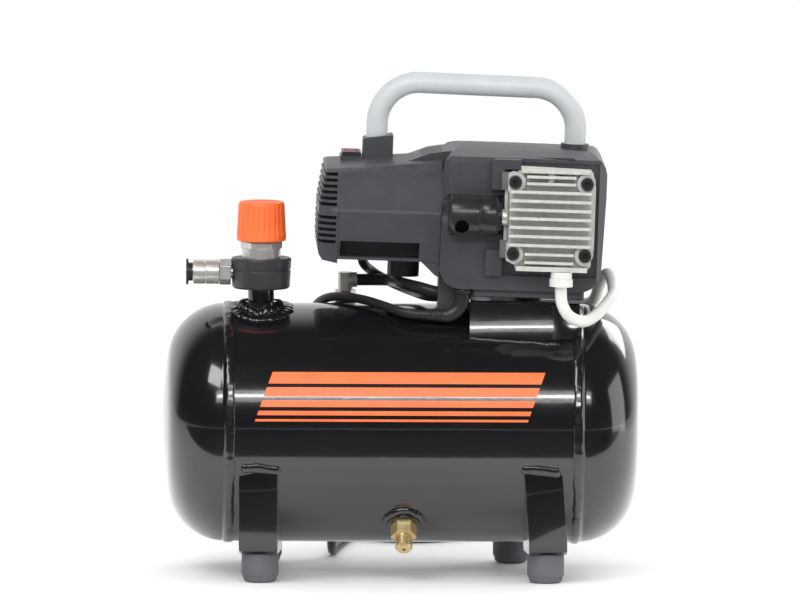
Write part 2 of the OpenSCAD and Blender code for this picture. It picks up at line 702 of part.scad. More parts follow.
module cover_screws() color(steel_metal) leaning() {
    for (x = MOTOR_SCREWS_X, place = MOTOR_SCREWS) translate([x, 0, place[0]]) {
        rod_y(place[1], place[1] + 2.2, 7);
        rod_y(place[1] - 8, place[1] + 0.5, 3);
    }
    for (x = [34, 123], z = [209, 276]) translate([x, 0, z]) {
        rod_y(cover_y - 1.7, cover_y + 0.6, 7);
        rod_y(44, cover_y - 1.2, 3);
    }
}

// ---- Handle ----

// Places the handle's pieces, which lean a little further than the unit
module on_handle() translate([0, 0, handle_z]) rotate([0, handle_fall, 0]) translate([0, 0, -handle_z])
    children();

// Hole for one end of the handle's tube
module handle_socket(x, z) on_handle() translate([x, 0, 0]) rod_z(z[0], z[1], handle_d + handle_fit);

// The handle's tube: a bar, two bends and two legs
module carry_handle() color(grey_paint) leaning() on_handle() {
    span = [handle_x[0] + handle_bend, handle_x[1] - handle_bend];
    feet = [283.2, 287];
    legs_top = handle_z - handle_bend;
    translate([0, 0, handle_z]) rod_x(span[0], span[1], handle_d);
    for (k = [0, 1]) {
        translate([span[k], 0, legs_top]) rotate([90, 0, 0])
            rotate_extrude(angle = 90, start = 90 - 90 * k) translate([handle_bend, 0]) circle(d = handle_d);
        difference() {
            translate([handle_x[k], 0, 0]) rod_z(feet[k], legs_top, handle_d);
            translate([handle_x[k], 0, 0]) rod_z(feet[k] - 1, legs_top - 4, handle_d - 3);
        }
    }
}

// ---- Pump ----

module crankcase() color(cast_metal) leaning() difference() {
    union() {
        translate([0, 0, shaft_z]) rod_x(60, 74, 36);
        translate([0, 0, shaft_z]) rod_x(73, 114, 72);
        slab([46.5, 119], [-43, 14], [base_z, 203]);
        slab([46.5, 94.5], [10, 43], [base_z, 203]);
        slab([62, 112], [-26, 26], [202, 226]);
        translate([cylinder_x, 0, shaft_z]) rod_y(-52, -18, 56);
    }
    translate([0, 0, shaft_z]) {
        rod_x(59, 80, 13);
        rod_x(60.9, 68.1, 22);
        rod_x(78, 115, 62);
    }
    translate([cylinder_x, 0, shaft_z]) rod_y(-60, -10, 50.1);
    for (m = MOUNTS) translate([m[0], m[1], 0]) rod_z(190, 205, 5);
}

module on_cylinder() leaning() translate([cylinder_x, 0, shaft_z]) children();
module four_corners() for (x = [-screw_half, screw_half], z = [-screw_half, screw_half])
    translate([x, 0, z]) children();

module cylinder_sleeve() color(cast_metal) on_cylinder() difference() {
    union() {
        rod_y(-64, -24, 50);
        slab([-22, 22], [-64, -60], [-31, 31]);
        slab([-30.6, 30.6], [-64, -60], [-22, 22]);
        four_corners() rod_y(-64, -57, 12);
    }
    rod_y(-65, -23, cylinder_bore);
    four_corners() rod_y(-70, -50, 5.2);
}

module valve_plate() color(steel_metal) on_cylinder() difference() {
    union() {
        slab([-28.4, 28.4], [-66.5, -64], [-28.4, 28.4]);
        for (z = [-22, 24]) slab([-33, -28], [-66.5, -64], [z - 6, z + 6]);
    }
    four_corners() rod_y(-70, -60, 5.2);
    for (x = [-8, 8]) translate([x, 0, 0]) rod_y(-70, -60, 5);
}

// Outline of the head, seen from the front about the cylinder's axis
head_outline = [[-20.4, 34.6], [-20.4, 30.6], [-28.8, 29.4], [-28.8, 17.6], [-27.6, 16], [-27.6, -17],
    [-28.8, -18.4], [-28.8, -29], [-23.4, -31.6], [-22, -35.4], [25, -35.4], [28.4, -32], [28.4, 31],
    [26.6, 33.4]];

module cylinder_head() color(cast_metal) on_cylinder() difference() {
    union() {
        front_plate(head_outline, [-71.5, -66.5]);
        for (k = [-3:3]) slab([-27.6, 27.6], [head_y[0], -71], [fin_pitch * k - 1, fin_pitch * k + 1]);
        for (z = [-29.6, -24, 23.8, 28.4]) slab([-16.5, 16.5], [head_y[0], -71], [z - 0.9, z + 0.9]);
        slab([-20, 26], [head_y[0] + 1.6, -71], [30.8, 33.4]);
        slab([-22, 26], [head_y[0], -71], [-35.4, -32.2]);
        intersection() {
            front_plate(head_outline, [-76.2, -66.5]);
            four_corners() rod_y(-77, -66, 14);
        }
        slab([-2, 2], [-76, -71], [22, 32]);
    }
    four_corners() rod_y(-90, -60, 5.2);
    four_corners() rod_y(-90, -75.4, 9.2);
    translate([0, -69, -0.3]) rod_x(-40, -18, 3.6);
    translate([8.9, -74.9, 0]) rod_z(-40, -26, 6);
}

module head_screws() color("#1b1b1d") on_cylinder() four_corners() difference() {
    union() {
        rod_y(-79.8, -75.4, 8.4);
        rod_y(-76, -58, 5);
    }
    translate([0, -80.5, 0]) rotate([-90, 0, 0]) cylinder(h = 2.6, d = 4.6, $fn = 6);
}

module intake_silencer() color("#141416") silencer_place() difference() {
    union() {
        rod_x(27.6, 49, 28.4);
        rod_x(48.5, 61.5, 27.8);
        rod_x(61.4, 63.4, 20);
        translate([0, -7, 0]) rod_x(61, 74, 3.5);
        translate([0, -8.6, 0]) rod_x(63.3, 67.6, 11);
    }
    rod_x(30, 59, 22);
    rotate([30, 0, 0]) translate([36.4, 0, 0]) rod_y(-20, -5, 9.8);
    translate([0, -7, 0]) rod_x(58, 76, 2);
}

module delivery_nut() color(ivory_plastic) leaning() translate([104.5, -75, 0]) difference() {
    union() {
        rod_z(203.2, 208.4, 15.8);
        rod_z(208.4, 213, 14.4);
    }
    rod_z(200, 220, delivery_d + 0.6);
}

module delivery_tube() color(ivory_plastic) swept_line(DELIVERY_ROUTE, delivery_d, 3, 12);

// ---- Motor and crank ----

module stator() color(steel_metal) on_shaft() difference() {
    union() {
        rod_x(stator_x[0], stator_x[1], 54);
        rod_x(stator_x[0] - 8, stator_x[0], 52);
    }
    rod_x(stator_x[0] - 9, stator_x[1] + 1, rotor_d + 1);
    rod_x(stator_x[0] - 5, stator_x[0] + 1, 49);
    for (k = [0:11]) rotate([30 * k, 0, 0]) translate([0, 19, 0]) rod_x(stator_x[0] - 1, stator_x[1] + 1, 5);
}

module stator_windings() color("#a5562a") on_shaft() for (x = [stator_x[0] - 4.8, stator_x[1]])
    difference() {
        rod_x(x, x + 4.8, 48);
        rod_x(x - 1, x + 6, 35);
    }

module rotor_shaft() color(steel_metal) on_shaft() {
    rod_x(-56, 86, shaft_d);
    rod_x(stator_x[0] + 1, stator_x[1] - 1, rotor_d);
}

module bearings() color("#b8bcc2") on_shaft() {
    difference() {
        rod_x(stator_x[0] - 8, stator_x[0] - 5.2, rotor_d + 1);
        rod_x(stator_x[0] - 9, stator_x[0] - 5, shaft_d + 2 * running);
    }
    difference() {
        rod_x(61, 68, 22);
        rod_x(60, 69, shaft_d + 2 * running);
    }
}

module cooling_fan() color("#3a3c40") on_shaft() {
    difference() {
        rod_x(-55, -47, 16);
        rod_x(-57, -46, shaft_d);
    }
    for (k = [0:8]) rotate([40 * k, 0, 0]) translate([-50.4, 0, 0]) rotate([0, 35, 0])
        slab([-0.8, 0.8], [7.4, fan_r], [-4.6, 4.6]);
}

module crank_disc() color(steel_metal) on_shaft() difference() {
    union() {
        rod_x(82, 88, 46);
        rod_x(81, 82, 16);
    }
    rod_x(80, 89, shaft_d);
    translate([0, 0, 14]) rod_x(80, 89, 9);
    translate([0, -10, 13]) rod_x(80, 89, 6);
    translate([0, 10, 13]) rod_x(80, 89, 6);
}

// One-piece rod and piston; the crank pin stays on the rod and ends clear of the disc
module piston_rod() color("#b5b8ba") on_shaft() {
    difference() {
        union() {
            translate([0, 0, crank_throw]) rod_x(91, 100, 20);
            slab([92, 99], [-42, -6], [-5, 5]);
            translate([cylinder_x, 0, 0]) rod_y(-52, -41, cylinder_bore - 2 * running);
        }
        translate([0, 0, crank_throw]) rod_x(90, 101, 8);
    }
    translate([0, 0, crank_throw]) rod_x(88.6, 100, 8);
}

module run_capacitor() color("#1c1c1e") leaning() rod_z(200, unit_z[0], 21.6);

// ---- Lines ----

module pressure_hose() color("#232326") swept_line(HOSE_ROUTE, hose_d, 4, 10);
module motor_cable() color("#202023") swept_line(CABLE_ROUTE, cable_d, 3, 10);

// Strain relief that turns the lead from the cover's floor to the left
module cord_gland() color("#1a1a1c") leaning() translate([39.6, -44, 0]) {
    rod_z(190, 202, 9.4);
    rod_z(193.5, 196.8, 13);
    translate([-12, 0, 190]) rotate([90, 0, 0])
        rotate_extrude(angle = 90, start = 270) translate([12, 0]) circle(d = 9.4);
    translate([-24, 0, 178]) rotate([0, 90, 0]) cylinder(h = 12, d1 = 7.4, d2 = 9.4);
}

module mains_cord() color("#1c1c1f") swept_line(LEAD_ROUTE, lead_d, 2, 8);
module cord_tail() color("#1c1c1f") swept_line(TAIL_ROUTE, lead_d, 2, 8);

module cord_coil() color("#1c1c1f") translate([coil_at[0], coil_at[1], 0]) {
    inside = coil_r - coil_across * lead_d / 2;
    outside = coil_r + coil_across * lead_d / 2;
    high = coil_up * lead_d;
    rotate_extrude() polygon([[inside, 1.6], [inside + 1.6, 0], [outside - 1.6, 0], [outside, 1.6],
        [outside, high - 1.6], [outside - 1.6, high], [inside + 1.6, high], [inside, high - 1.6]]);
}

// Two-pin round mains plug, lying on its side
module mains_plug() color("#1a1a1d") translate(TAIL_ROUTE[4]) {
    rotate([0, 90, 0]) rotate_extrude() polygon([[0, 0], [5, 0], [6.5, 12], [13, 20], [16.5, 30],
        [18.5, 33], [18.5, 40], [17, 42], [0, 42]]);
    for (y = [-9.5, 9.5]) translate([0, y, 0]) rod_x(41, 60, 4.8);
}

tank_shell();
tank_end_left();
tank_end_right();
foot_bracket_front_left();
foot_bracket_front_right();
foot_bracket_back_left();
foot_bracket_back_right();
rubber_feet();
foot_screws();
pump_saddle();
tank_bosses();
drain_body();
drain_screw();
check_valve();
safety_valve();
relief_ring();
tank_hose_fitting();
outlet_stem();
regulator_body();
bonnet_ring();
regulator_knob();
gauge_case();
gauge_dial();
gauge_lens();
gauge_needle();
coupler_body();
coupler_sleeve();
coupler_end_ring();
motor_cover_upper();
motor_cover_lower();
motor_end_cap();
pump_cover();
cover_screws();
carry_handle();
switch_bezel();
switch_rocker();
crankcase();
cylinder_sleeve();
valve_plate();
cylinder_head();
head_screws();
intake_silencer();
delivery_nut();
delivery_tube();
stator();
stator_windings();
rotor_shaft();
cooling_fan();
crank_disc();
piston_rod();
bearings();
run_capacitor();
pump_mounts();
pressure_hose();
motor_cable();
cord_gland();
mains_cord();
cord_coil();
cord_tail();
mains_plug();
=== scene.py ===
# %% [markdown]
# # A small oil-free air compressor
# The receiver is a gloss black steel tank on four feet, and the pump unit stands on a saddle on
# top of it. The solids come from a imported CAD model, and this script gives them their looks. Where
# a solid is right it stays and gets a finish. Where the real piece is softer or richer than the
# solid, a mesh made here stands for it.

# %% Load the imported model
import json
import math

import bmesh
import bpy
from mathutils import Matrix, Quaternion, Vector, noise


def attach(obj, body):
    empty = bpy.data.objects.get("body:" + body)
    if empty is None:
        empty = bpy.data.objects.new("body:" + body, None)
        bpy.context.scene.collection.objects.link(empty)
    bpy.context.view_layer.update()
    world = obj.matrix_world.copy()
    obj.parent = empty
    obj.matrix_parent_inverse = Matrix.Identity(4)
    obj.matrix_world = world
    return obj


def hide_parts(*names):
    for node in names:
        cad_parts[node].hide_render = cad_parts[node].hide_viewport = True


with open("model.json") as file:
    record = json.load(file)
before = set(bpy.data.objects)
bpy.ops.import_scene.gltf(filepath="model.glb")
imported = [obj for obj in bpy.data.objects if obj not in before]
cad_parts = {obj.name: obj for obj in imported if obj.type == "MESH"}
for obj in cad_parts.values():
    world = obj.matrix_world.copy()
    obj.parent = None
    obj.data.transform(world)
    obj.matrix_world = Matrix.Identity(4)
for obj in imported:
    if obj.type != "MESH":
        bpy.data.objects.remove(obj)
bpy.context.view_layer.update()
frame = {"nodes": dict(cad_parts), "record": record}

MM = 0.001

# %% [markdown]
# ## The camera
# The compressor is seen from far away with a long lens, a little from above and a little from the
# left. A lens close by would spread its edges apart. From twelve metres they stay parallel.

# %% The camera
AIM = Vector((-0.0015, 0, 0.1854))
DISTANCE = 12.0
EYE_HEIGHT = math.radians(5.7)
EYE_LEFT = math.radians(1.5)
ROLL = math.radians(0.37)
SENSOR_WIDTH = 36
FOCAL_LENGTH = 796.5
FARTHEST_SEEN = 60

camera_data = bpy.data.cameras.new("camera")
camera_data.sensor_width = SENSOR_WIDTH
camera_data.lens = FOCAL_LENGTH
camera_data.clip_end = FARTHEST_SEEN
camera = bpy.data.objects.new("camera", camera_data)
bpy.context.scene.collection.objects.link(camera)
towards_eye = Vector((-math.sin(EYE_LEFT) * math.cos(EYE_HEIGHT),
                      -math.cos(EYE_LEFT) * math.cos(EYE_HEIGHT), math.sin(EYE_HEIGHT)))
camera.location = AIM + DISTANCE * towards_eye
camera.rotation_mode = "QUATERNION"
level_view = (-towards_eye).to_track_quat("-Z", "Y")
camera.rotation_quaternion = level_view @ Quaternion((0, 0, 1), ROLL)
bpy.context.scene.camera = camera
print("camera at", [round(c, 3) for c in camera.location])

# %% [markdown]
# ## Smooth lines
# Hoses and leads follow a few given points. A Catmull-Rom line passes through all of them
# without corners, so it is the natural choice where the points are places that the line must touch.

# %% Smooth lines
def smooth_line(points, steps):
    """Catmull-Rom line through the points, with the same number of steps in each span."""
    places = [Vector(point) for point in points]
    last = len(places) - 1
    line = []
    for i in range(last):
        before, start = places[max(i - 1, 0)], places[i]
        end, after = places[i + 1], places[min(i + 2, last)]
        for k in range(steps):
            t = k / steps
            line.append(0.5 * (2 * start + (end - before) * t
                               + (2 * before - 5 * start + 4 * end - after) * t ** 2
                               + (3 * start - before - 3 * end + after) * t ** 3))
    return line + [places[-1]]


def line_length(line):
    return sum((b - a).length for a, b in zip(line, line[1:]))


print("a line from (0, 0, 0) to (3, 4, 0) measures", line_length(smooth_line([(0, 0, 0), (3, 4, 0)], 6)))

# %% [markdown]
# ## The mains lead's route
# The lead is 1.87 m of 6.2 mm rubber flex. It leaves the pump cover's floor, crosses the tank's
# top, hangs down behind it and lies on the floor. What isn't needed is wound into a flat coil of six
# turns behind the object, and the plug lies beside the coil. The points of the free stretches are
# given in millimetres, and a loop works out the turns.

# %% The mains lead's route
LEAD_D = 0.0062
LEAD_ROUTE = [(15.6, -44, 179.8), (7.8, -43, 180.1), (0.6, -40, 180.9), (-5.6, -35.2, 182.2),
              (-15, -25.2, 184.6), (-27, -11.4, 186.8), (-39, 3, 187.3), (-49, 17, 185.4),
              (-56, 33, 180.2), (-60, 50, 170.8), (-60, 66, 155.8), (-58, 78, 137.5),
              (-56, 84.8, 117), (-54, 86.2, 95), (-51, 81, 72), (-49, 74, 48), (-46.5, 70, 30),
              (-45.5, 73.5, 15.5), (-44.8, 84, 6.5), (-43.6, 99, 3.4), (-41.5, 118, 3.1),
              (-37.5, 145, 3.1), (-33, 172, 3.1), (-29.6, 194, 3.1)]
TAIL_ROUTE = [(22, 253.5, 9.3), (38, 252, 10.5), (54, 250, 14), (68, 249.2, 17.4), (80, 249, 18.5)]
ROUTE_STEPS = 6
COIL_AT = (12, 214)
TURN_RADII = [40.4, 34.2, 28]
TURN_HEIGHTS = [3.1, 9.3]
TURN_POINTS = 40
CROSSING = 0.2


def coil_points():
    """The turns of the coil: in along the bottom layer, out along the top one, then a quarter turn.

    In the last part of each turn, CROSSING of it, the lead crosses over to the next one.
    """
    turns = [(radius, TURN_HEIGHTS[0]) for radius in TURN_RADII]
    turns += [(radius, TURN_HEIGHTS[1]) for radius in TURN_RADII[::-1]]
    last = len(turns) - 1
    points = []
    for k in range(len(turns) * TURN_POINTS + TURN_POINTS // 4 + 1):
        turn = min(k // TURN_POINTS, last)
        radius, height = turns[turn]
        next_radius, next_height = turns[min(turn + 1, last)]
        share = (k % TURN_POINTS) / TURN_POINTS
        crossed = max(0, min(1, (share - (1 - CROSSING)) / CROSSING))
        crossed = crossed * crossed * (3 - 2 * crossed)     # starts and ends gently
        radius += (next_radius - radius) * crossed
        height += (next_height - height) * crossed
        angle = math.pi - 2 * math.pi * k / TURN_POINTS
        points.append(Vector((COIL_AT[0] + radius * math.cos(angle),
                              COIL_AT[1] + radius * math.sin(angle), height)))
    return points


lead_line = smooth_line(LEAD_ROUTE, ROUTE_STEPS)
coil = coil_points()
tail_line = smooth_line(TAIL_ROUTE, ROUTE_STEPS)
whole_lead = [place * MM for place in lead_line + coil + tail_line]
print("lead", round(line_length(whole_lead), 3), "m, of it coiled", round(line_length(coil) * MM, 3), "m")

# %% [markdown]
# ## Nodes for the finishes
# Every finish is a node tree. Small helpers keep the trees short: one adds a node with its settings
# and inputs, and one makes a group with named sockets. A group gives out only masks and heights, and
# the shader itself stays in each material.

# %% Node helpers
def fill(tree, node, inputs):
    """Sets a node's inputs, each to a value or to another node's output."""
    for key, value in inputs.items():
        if hasattr(value, "is_output"):
            tree.links.new(value, node.inputs[key])
        else:
            node.inputs[key].default_value = value


def add(tree, kind, inputs=None, **settings):
    """A new node with its settings and inputs."""
    made = tree.nodes.new(kind)
    for key, value in settings.items():
        setattr(made, key, value)
    fill(tree, made, inputs or {})
    return made


def effect_group(name, inputs, output):
    """A node group with float inputs of given default values, and one float output."""
    tree = bpy.data.node_groups.new(name, "ShaderNodeTree")
    for label, value in inputs.items():
        socket = tree.interface.new_socket(label, in_out="INPUT", socket_type="NodeSocketFloat")
        socket.default_value = value
    tree.interface.new_socket(output, in_out="OUTPUT", socket_type="NodeSocketFloat")
    return tree, tree.nodes.new("NodeGroupInput"), tree.nodes.new("NodeGroupOutput")


def object_noise(tree, scale, detail, roughness):
    """Noise that stays fixed to the object."""
    place = add(tree, "ShaderNodeTexCoord")
    return add(tree, "ShaderNodeTexNoise", {"Vector": place.outputs["Object"], "Scale": scale,
                                            "Detail": detail, "Roughness": roughness}).outputs["Fac"]


def product(tree, first, second, **settings):
    return add(tree, "ShaderNodeMath", {0: first, 1: second}, operation="MULTIPLY", **settings).outputs[0]


print("node helpers ready, groups so far:", len(bpy.data.node_groups))

# %% [markdown]
# ## Grain
# Moulded plastic, rubber and sand-cast metal have a fine texture that only shows in how they catch
# the light. Fine noise, used as a height for a bump, gives it. The same group at a coarse scale is
# orange peel, the long soft waves of sprayed paint.

# %% Grain
def make_grain():
    tree, given, out = effect_group("grain", {"Scale": 1500, "Depth": 1.0}, "Height")
    fine = object_noise(tree, given.outputs["Scale"], detail=3.0, roughness=0.6)
    fill(tree, out, {"Height": product(tree, fine, given.outputs["Depth"])})
    return tree


GRAIN = make_grain()
print("grain:", len(GRAIN.nodes), "nodes")

# %% [markdown]
# ## Mottle
# No real surface is quite one colour or one gloss. Slow noise, spread about its middle by a
# contrast, gives a mask that mixes two tones and shifts the roughness with them.

# %% Mottle
def make_mottle():
    tree, given, out = effect_group("mottle", {"Scale": 60, "Contrast": 1.0}, "Mask")
    slow = object_noise(tree, given.outputs["Scale"], detail=4.0, roughness=0.55)
    centred = add(tree, "ShaderNodeMath", {0: slow, 1: 0.5}, operation="SUBTRACT")
    spread = add(tree, "ShaderNodeMath", {0: centred.outputs[0], 1: given.outputs["Contrast"], 2: 0.5},
                 operation="MULTIPLY_ADD", use_clamp=True)
    fill(tree, out, {"Mask": spread.outputs[0]})
    return tree


MOTTLE = make_mottle()
print("mottle:", len(MOTTLE.nodes), "nodes")

# %% [markdown]
# ## Dust
# Dust lies on what faces up, in patches. The surface's own direction gives the first mask and noise
# the second, and their product is where the dust is.

# %% Dust
LEVEL_FROM = 0.35
PATCH_FROM, PATCH_TO = 0.35, 0.8


def make_dust():
    tree, given, out = effect_group("dust", {"Amount": 0.3, "Scale": 220}, "Mask")
    facing = add(tree, "ShaderNodeNewGeometry")
    parts = add(tree, "ShaderNodeSeparateXYZ", {0: facing.outputs["Normal"]})
    level = add(tree, "ShaderNodeMapRange", {"Value": parts.outputs["Z"], "From Min": LEVEL_FROM,
                                             "From Max": 1.0})
    cloud = object_noise(tree, given.outputs["Scale"], detail=5.0, roughness=0.7)
    patchy = add(tree, "ShaderNodeMapRange", {"Value": cloud, "From Min": PATCH_FROM, "From Max": PATCH_TO})
    both = product(tree, level.outputs[0], patchy.outputs[0])
    fill(tree, out, {"Mask": product(tree, both, given.outputs["Amount"], use_clamp=True)})
    return tree


DUST = make_dust()
print("dust:", len(DUST.nodes), "nodes")

# %% [markdown]
# ## One recipe for every finish
# The finishes differ in their numbers, not in their build, so one function makes them: two tones
# mixed by the mottle, a thin film of dust, roughness that varies with the mottle, and a bump from
# the grain.

# %% The recipe
DUST_COLOUR = (0.34, 0.33, 0.31, 1)
DUST_SCALE = 220
COAT_ROUGHNESS = 0.04
FINISHES = {}


def use_group(tree, effect, **values):
    """Places a group in a material with its own values."""
    made = tree.nodes.new("ShaderNodeGroup")
    made.node_tree = effect
    for key, value in values.items():
        made.inputs[key.capitalize()].default_value = value
    return made.outputs[0]


def mixed(tree, mask, first, second):
    """Two colours mixed by a mask."""
    made = add(tree, "ShaderNodeMix", {"Factor": mask, "A": first, "B": second}, data_type="RGBA")
    return made.outputs["Result"]


def finish(name, dark, light, rough, metal=0.0, coat=0.0, grain=(1500, 0.00002), mottle=(60, 1.5),
           dust=0.0, rough_change=0.06, specular=0.5, clear=0.0):
    """A material of two tones. grain is (scale, depth in metres), and mottle is (scale, contrast)."""
    made = bpy.data.materials.new(name)
    made.use_nodes = True
    tree = made.node_tree
    slow = use_group(tree, MOTTLE, scale=mottle[0], contrast=mottle[1])
    colour = mixed(tree, slow, (*dark, 1), (*light, 1))
    if dust:
        colour = mixed(tree, use_group(tree, DUST, amount=dust, scale=DUST_SCALE), colour, DUST_COLOUR)
    shade = add(tree, "ShaderNodeMapRange", {"Value": slow, "To Min": rough - rough_change / 2,
                                             "To Max": rough + rough_change / 2})
    fine = use_group(tree, GRAIN, scale=grain[0])
    bump = add(tree, "ShaderNodeBump", {"Height": fine, "Distance": grain[1], "Strength": 1.0})
    fill(tree, tree.nodes["Principled BSDF"], {
        "Base Color": colour, "Roughness": shade.outputs[0], "Normal": bump.outputs["Normal"],
        "Metallic": metal, "Coat Weight": coat, "Coat Roughness": COAT_ROUGHNESS,
        "Specular IOR Level": specular, "Transmission Weight": clear})
    FINISHES[name] = made


print("recipe ready, effects in it:", sorted(group.name for group in bpy.data.node_groups))

# %% [markdown]
# ## Paint and rubber
# The receiver's paint is a deep black under a clear coat, with orange peel. On the welds it lies
# over rough metal, so its grain is deeper. The handle has a pale grey satin paint. The feet are grey
# rubber and dusty, and the hose, the motor's cable and the mains lead are black rubber.

# %% Paint and rubber
finish("black_gloss_paint", (0.004, 0.004, 0.005), (0.007, 0.007, 0.008), 0.16, coat=1.0,
       grain=(90, 0.00012), mottle=(25, 1.2), rough_change=0.05)
finish("weld_paint", (0.004, 0.004, 0.005), (0.008, 0.008, 0.009), 0.2, coat=1.0,
       grain=(420, 0.00025), mottle=(90, 1.4), rough_change=0.08)
finish("handle_grey", (0.37, 0.39, 0.40), (0.44, 0.46, 0.47), 0.36, grain=(700, 0.00003))
finish("foot_rubber", (0.078, 0.080, 0.090), (0.112, 0.114, 0.126), 0.6, grain=(900, 0.00005), dust=0.3)
finish("hose_rubber", (0.010, 0.010, 0.011), (0.018, 0.018, 0.020), 0.42, grain=(1300, 0.00005), dust=0.1)
print("finishes so far:", len(FINISHES))

# %% [markdown]
# ## Metals
# Bright fittings turn black where they mirror a dark room. A metal value a little under one keeps
# some of the colour of nickel and brass, as the dull skin on real ones does. Zinc plate stays a full
# metal, and blackened screws and fittings show no bare metal at all. The cylinder head is raw cast
# aluminium, almost matt, with a coarse grain.

# %% Metals
finish("zinc_steel", (0.42, 0.42, 0.42), (0.60, 0.60, 0.58), 0.34, metal=1.0, mottle=(180, 2.0))
finish("brass", (0.60, 0.45, 0.19), (0.78, 0.62, 0.33), 0.32, metal=0.8, grain=(700, 0.00003),
       mottle=(200, 2.2))
finish("nickel", (0.62, 0.61, 0.58), (0.78, 0.76, 0.72), 0.3, metal=0.75, mottle=(160, 2.0))
finish("cast_aluminium", (0.45, 0.44, 0.415), (0.58, 0.57, 0.54), 0.5, metal=0.3,
       grain=(1100, 0.00009), mottle=(240, 2.0))
finish("black_screws", (0.010, 0.010, 0.011), (0.020, 0.020, 0.022), 0.34)
finish("black_fittings", (0.014, 0.014, 0.016), (0.022, 0.022, 0.025), 0.35)
finish("copper_winding", (0.16, 0.05, 0.02), (0.24, 0.09, 0.04), 0.5, metal=0.5, grain=(1600, 0.0002))
print("finishes so far:", len(FINISHES))

# %% [markdown]
# ## Plastics and the gauge
# The covers are anthracite plastic with a fine grain and some dust, the silencer is smoother, and
# the tube from the head is ivory. The dial sits behind a clear lens. The last finish is painted
# shade: a matt black without gloss that stands in for the shade inside a hole.

# %% Plastics and the gauge
finish("anthracite_plastic", (0.033, 0.033, 0.039), (0.046, 0.046, 0.054), 0.4,
       grain=(1700, 0.00006), dust=0.12)
finish("gloss_black_plastic", (0.014, 0.014, 0.016), (0.022, 0.022, 0.025), 0.26, grain=(800, 0.00002))
finish("regulator_black", (0.024, 0.024, 0.026), (0.034, 0.034, 0.037), 0.38,
       grain=(1200, 0.00004), dust=0.1)
finish("orange_plastic", (0.73, 0.105, 0.018), (0.84, 0.15, 0.032), 0.4, grain=(1400, 0.00003))
finish("ivory_plastic", (0.52, 0.52, 0.495), (0.62, 0.62, 0.59), 0.38)
finish("fan_plastic", (0.030, 0.032, 0.036), (0.042, 0.044, 0.048), 0.5)
finish("switch_red", (0.16, 0.022, 0.020), (0.20, 0.03, 0.026), 0.32)
finish("dial_white", (0.82, 0.82, 0.80), (0.90, 0.90, 0.88), 0.5)
finish("needle_red", (0.50, 0.03, 0.02), (0.60, 0.05, 0.03), 0.4)
finish("clear_lens", (0.92, 0.95, 0.95), (0.97, 0.98, 0.98), 0.05, clear=1.0, rough_change=0.02)
# Painted shade: a matt black with no gloss stands in for the shade inside the silencer's mouth.
finish("painted_hole_shade", (0.001, 0.001, 0.001), (0.003, 0.003, 0.003), 0.9, specular=0.0)
print("finishes in all:", len(FINISHES))

# %% [markdown]
# ## Finishes on the CAD solids
# The record says which finish each solid has. A real edge is never sharp: a Weld modifier joins the
# solid's faces, a Bevel rounds its edges, and weighted normals keep the flat faces flat.

# %% Dress the CAD solids
SLOT_OF = {part["node"]: part["material_slot"] for part in frame["record"]["subparts"]}
ROUNDING_MM = {"anthracite_plastic": 0.7, "black_gloss_paint": 0.7, "cast_aluminium": 0.45,
               "regulator_black": 0.4, "nickel": 0.3, "brass": 0.3, "gloss_black_plastic": 0.8,
               "orange_plastic": 0.3, "foot_rubber": 0.4}
SAME_PLACE = 0.000002
SHARPEST = math.radians(32)


def soften(piece, width):
    """Rounds the edges of a mesh whose faces come apart at their edges. The width is in mm."""
    joined = piece.modifiers.new("weld", "WELD")
    joined.merge_threshold = SAME_PLACE
    bevel = piece.modifiers.new("rounding", "BEVEL")
    bevel.width = width * MM
    bevel.segments = 2
    bevel.limit_method = "ANGLE"
    bevel.angle_limit = SHARPEST
    bevel.harden_normals = False
    normals = piece.modifiers.new("normals", "WEIGHTED_NORMAL")
    normals.mode = "FACE_AREA"
    normals.keep_sharp = False


for name, solid in frame["nodes"].items():
    slot = SLOT_OF[name]
    solid.data.materials.clear()
    solid.data.materials.append(FINISHES[slot])
    if slot in ROUNDING_MM:
        soften(solid, ROUNDING_MM[slot])
print("dressed", len(frame["nodes"]), "solids")

# %% [markdown]
# ## Pieces made here
# A piece is a mesh made in code. It takes a finish, rides on a body of the model, and says which
# CAD solids it stands for. Nearly all of them are lofts: rings of points with a skin over them. The
# points are worked out in millimetres, as in the CAD source, and made in metres. No CAD solid has
# No CAD solid has the welds' paint or the painted shade of the silencer's mouth.


def in_metres(points):
    return [Vector(point) * MM for point in points]


def full_turn(count):
    """The angles of a ring's points."""
    return [2 * math.pi * k / count for k in range(count)]


def loft(bm, rings, closed=False, caps=True):
    """Skin over rings of points that all have the same number of points."""
    rows = [[bm.verts.new(point) for point in ring] for ring in rings]
    pairs = list(zip(rows, rows[1:])) + ([(rows[-1], rows[0])] if closed else [])
    for low, high in pairs:
        for i in range(len(low)):
            j = (i + 1) % len(low)
            bm.faces.new((low[i], low[j], high[j], high[i]))
    if caps and not closed:
        bm.faces.new(rows[0][::-1])
        bm.faces.new(rows[-1])
    return rows


def piece_of(name, bm, slot, body="frame", replaced=(), smooth=True):
    bmesh.ops.recalc_face_normals(bm, faces=bm.faces)
    mesh = bpy.data.meshes.new(name)
    bm.to_mesh(mesh)
    bm.free()
    if smooth:
        mesh.polygons.foreach_set("use_smooth", [True] * len(mesh.polygons))
    mesh.materials.append(FINISHES[slot])
    made = bpy.data.objects.new(name, mesh)
    bpy.context.scene.collection.objects.link(made)
    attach(made, body)
    if replaced:
        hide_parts(*replaced)
    return made


# %% [markdown]
# ## The pump unit's lean
# The motor and pump lean a little to the right on their rubber mounts, so their pieces are made
# upright and then turned about one pivot, as in the CAD source.

# %% The lean
LEAN = math.radians(1.6)
LEAN_PIVOT = Vector((80, 0, 187))
LEANING = (Matrix.Translation(LEAN_PIVOT) @ Matrix.Rotation(LEAN, 4, "Y")
           @ Matrix.Translation(-LEAN_PIVOT))


def leaning(points):
    return [LEANING @ Vector(point) for point in points]


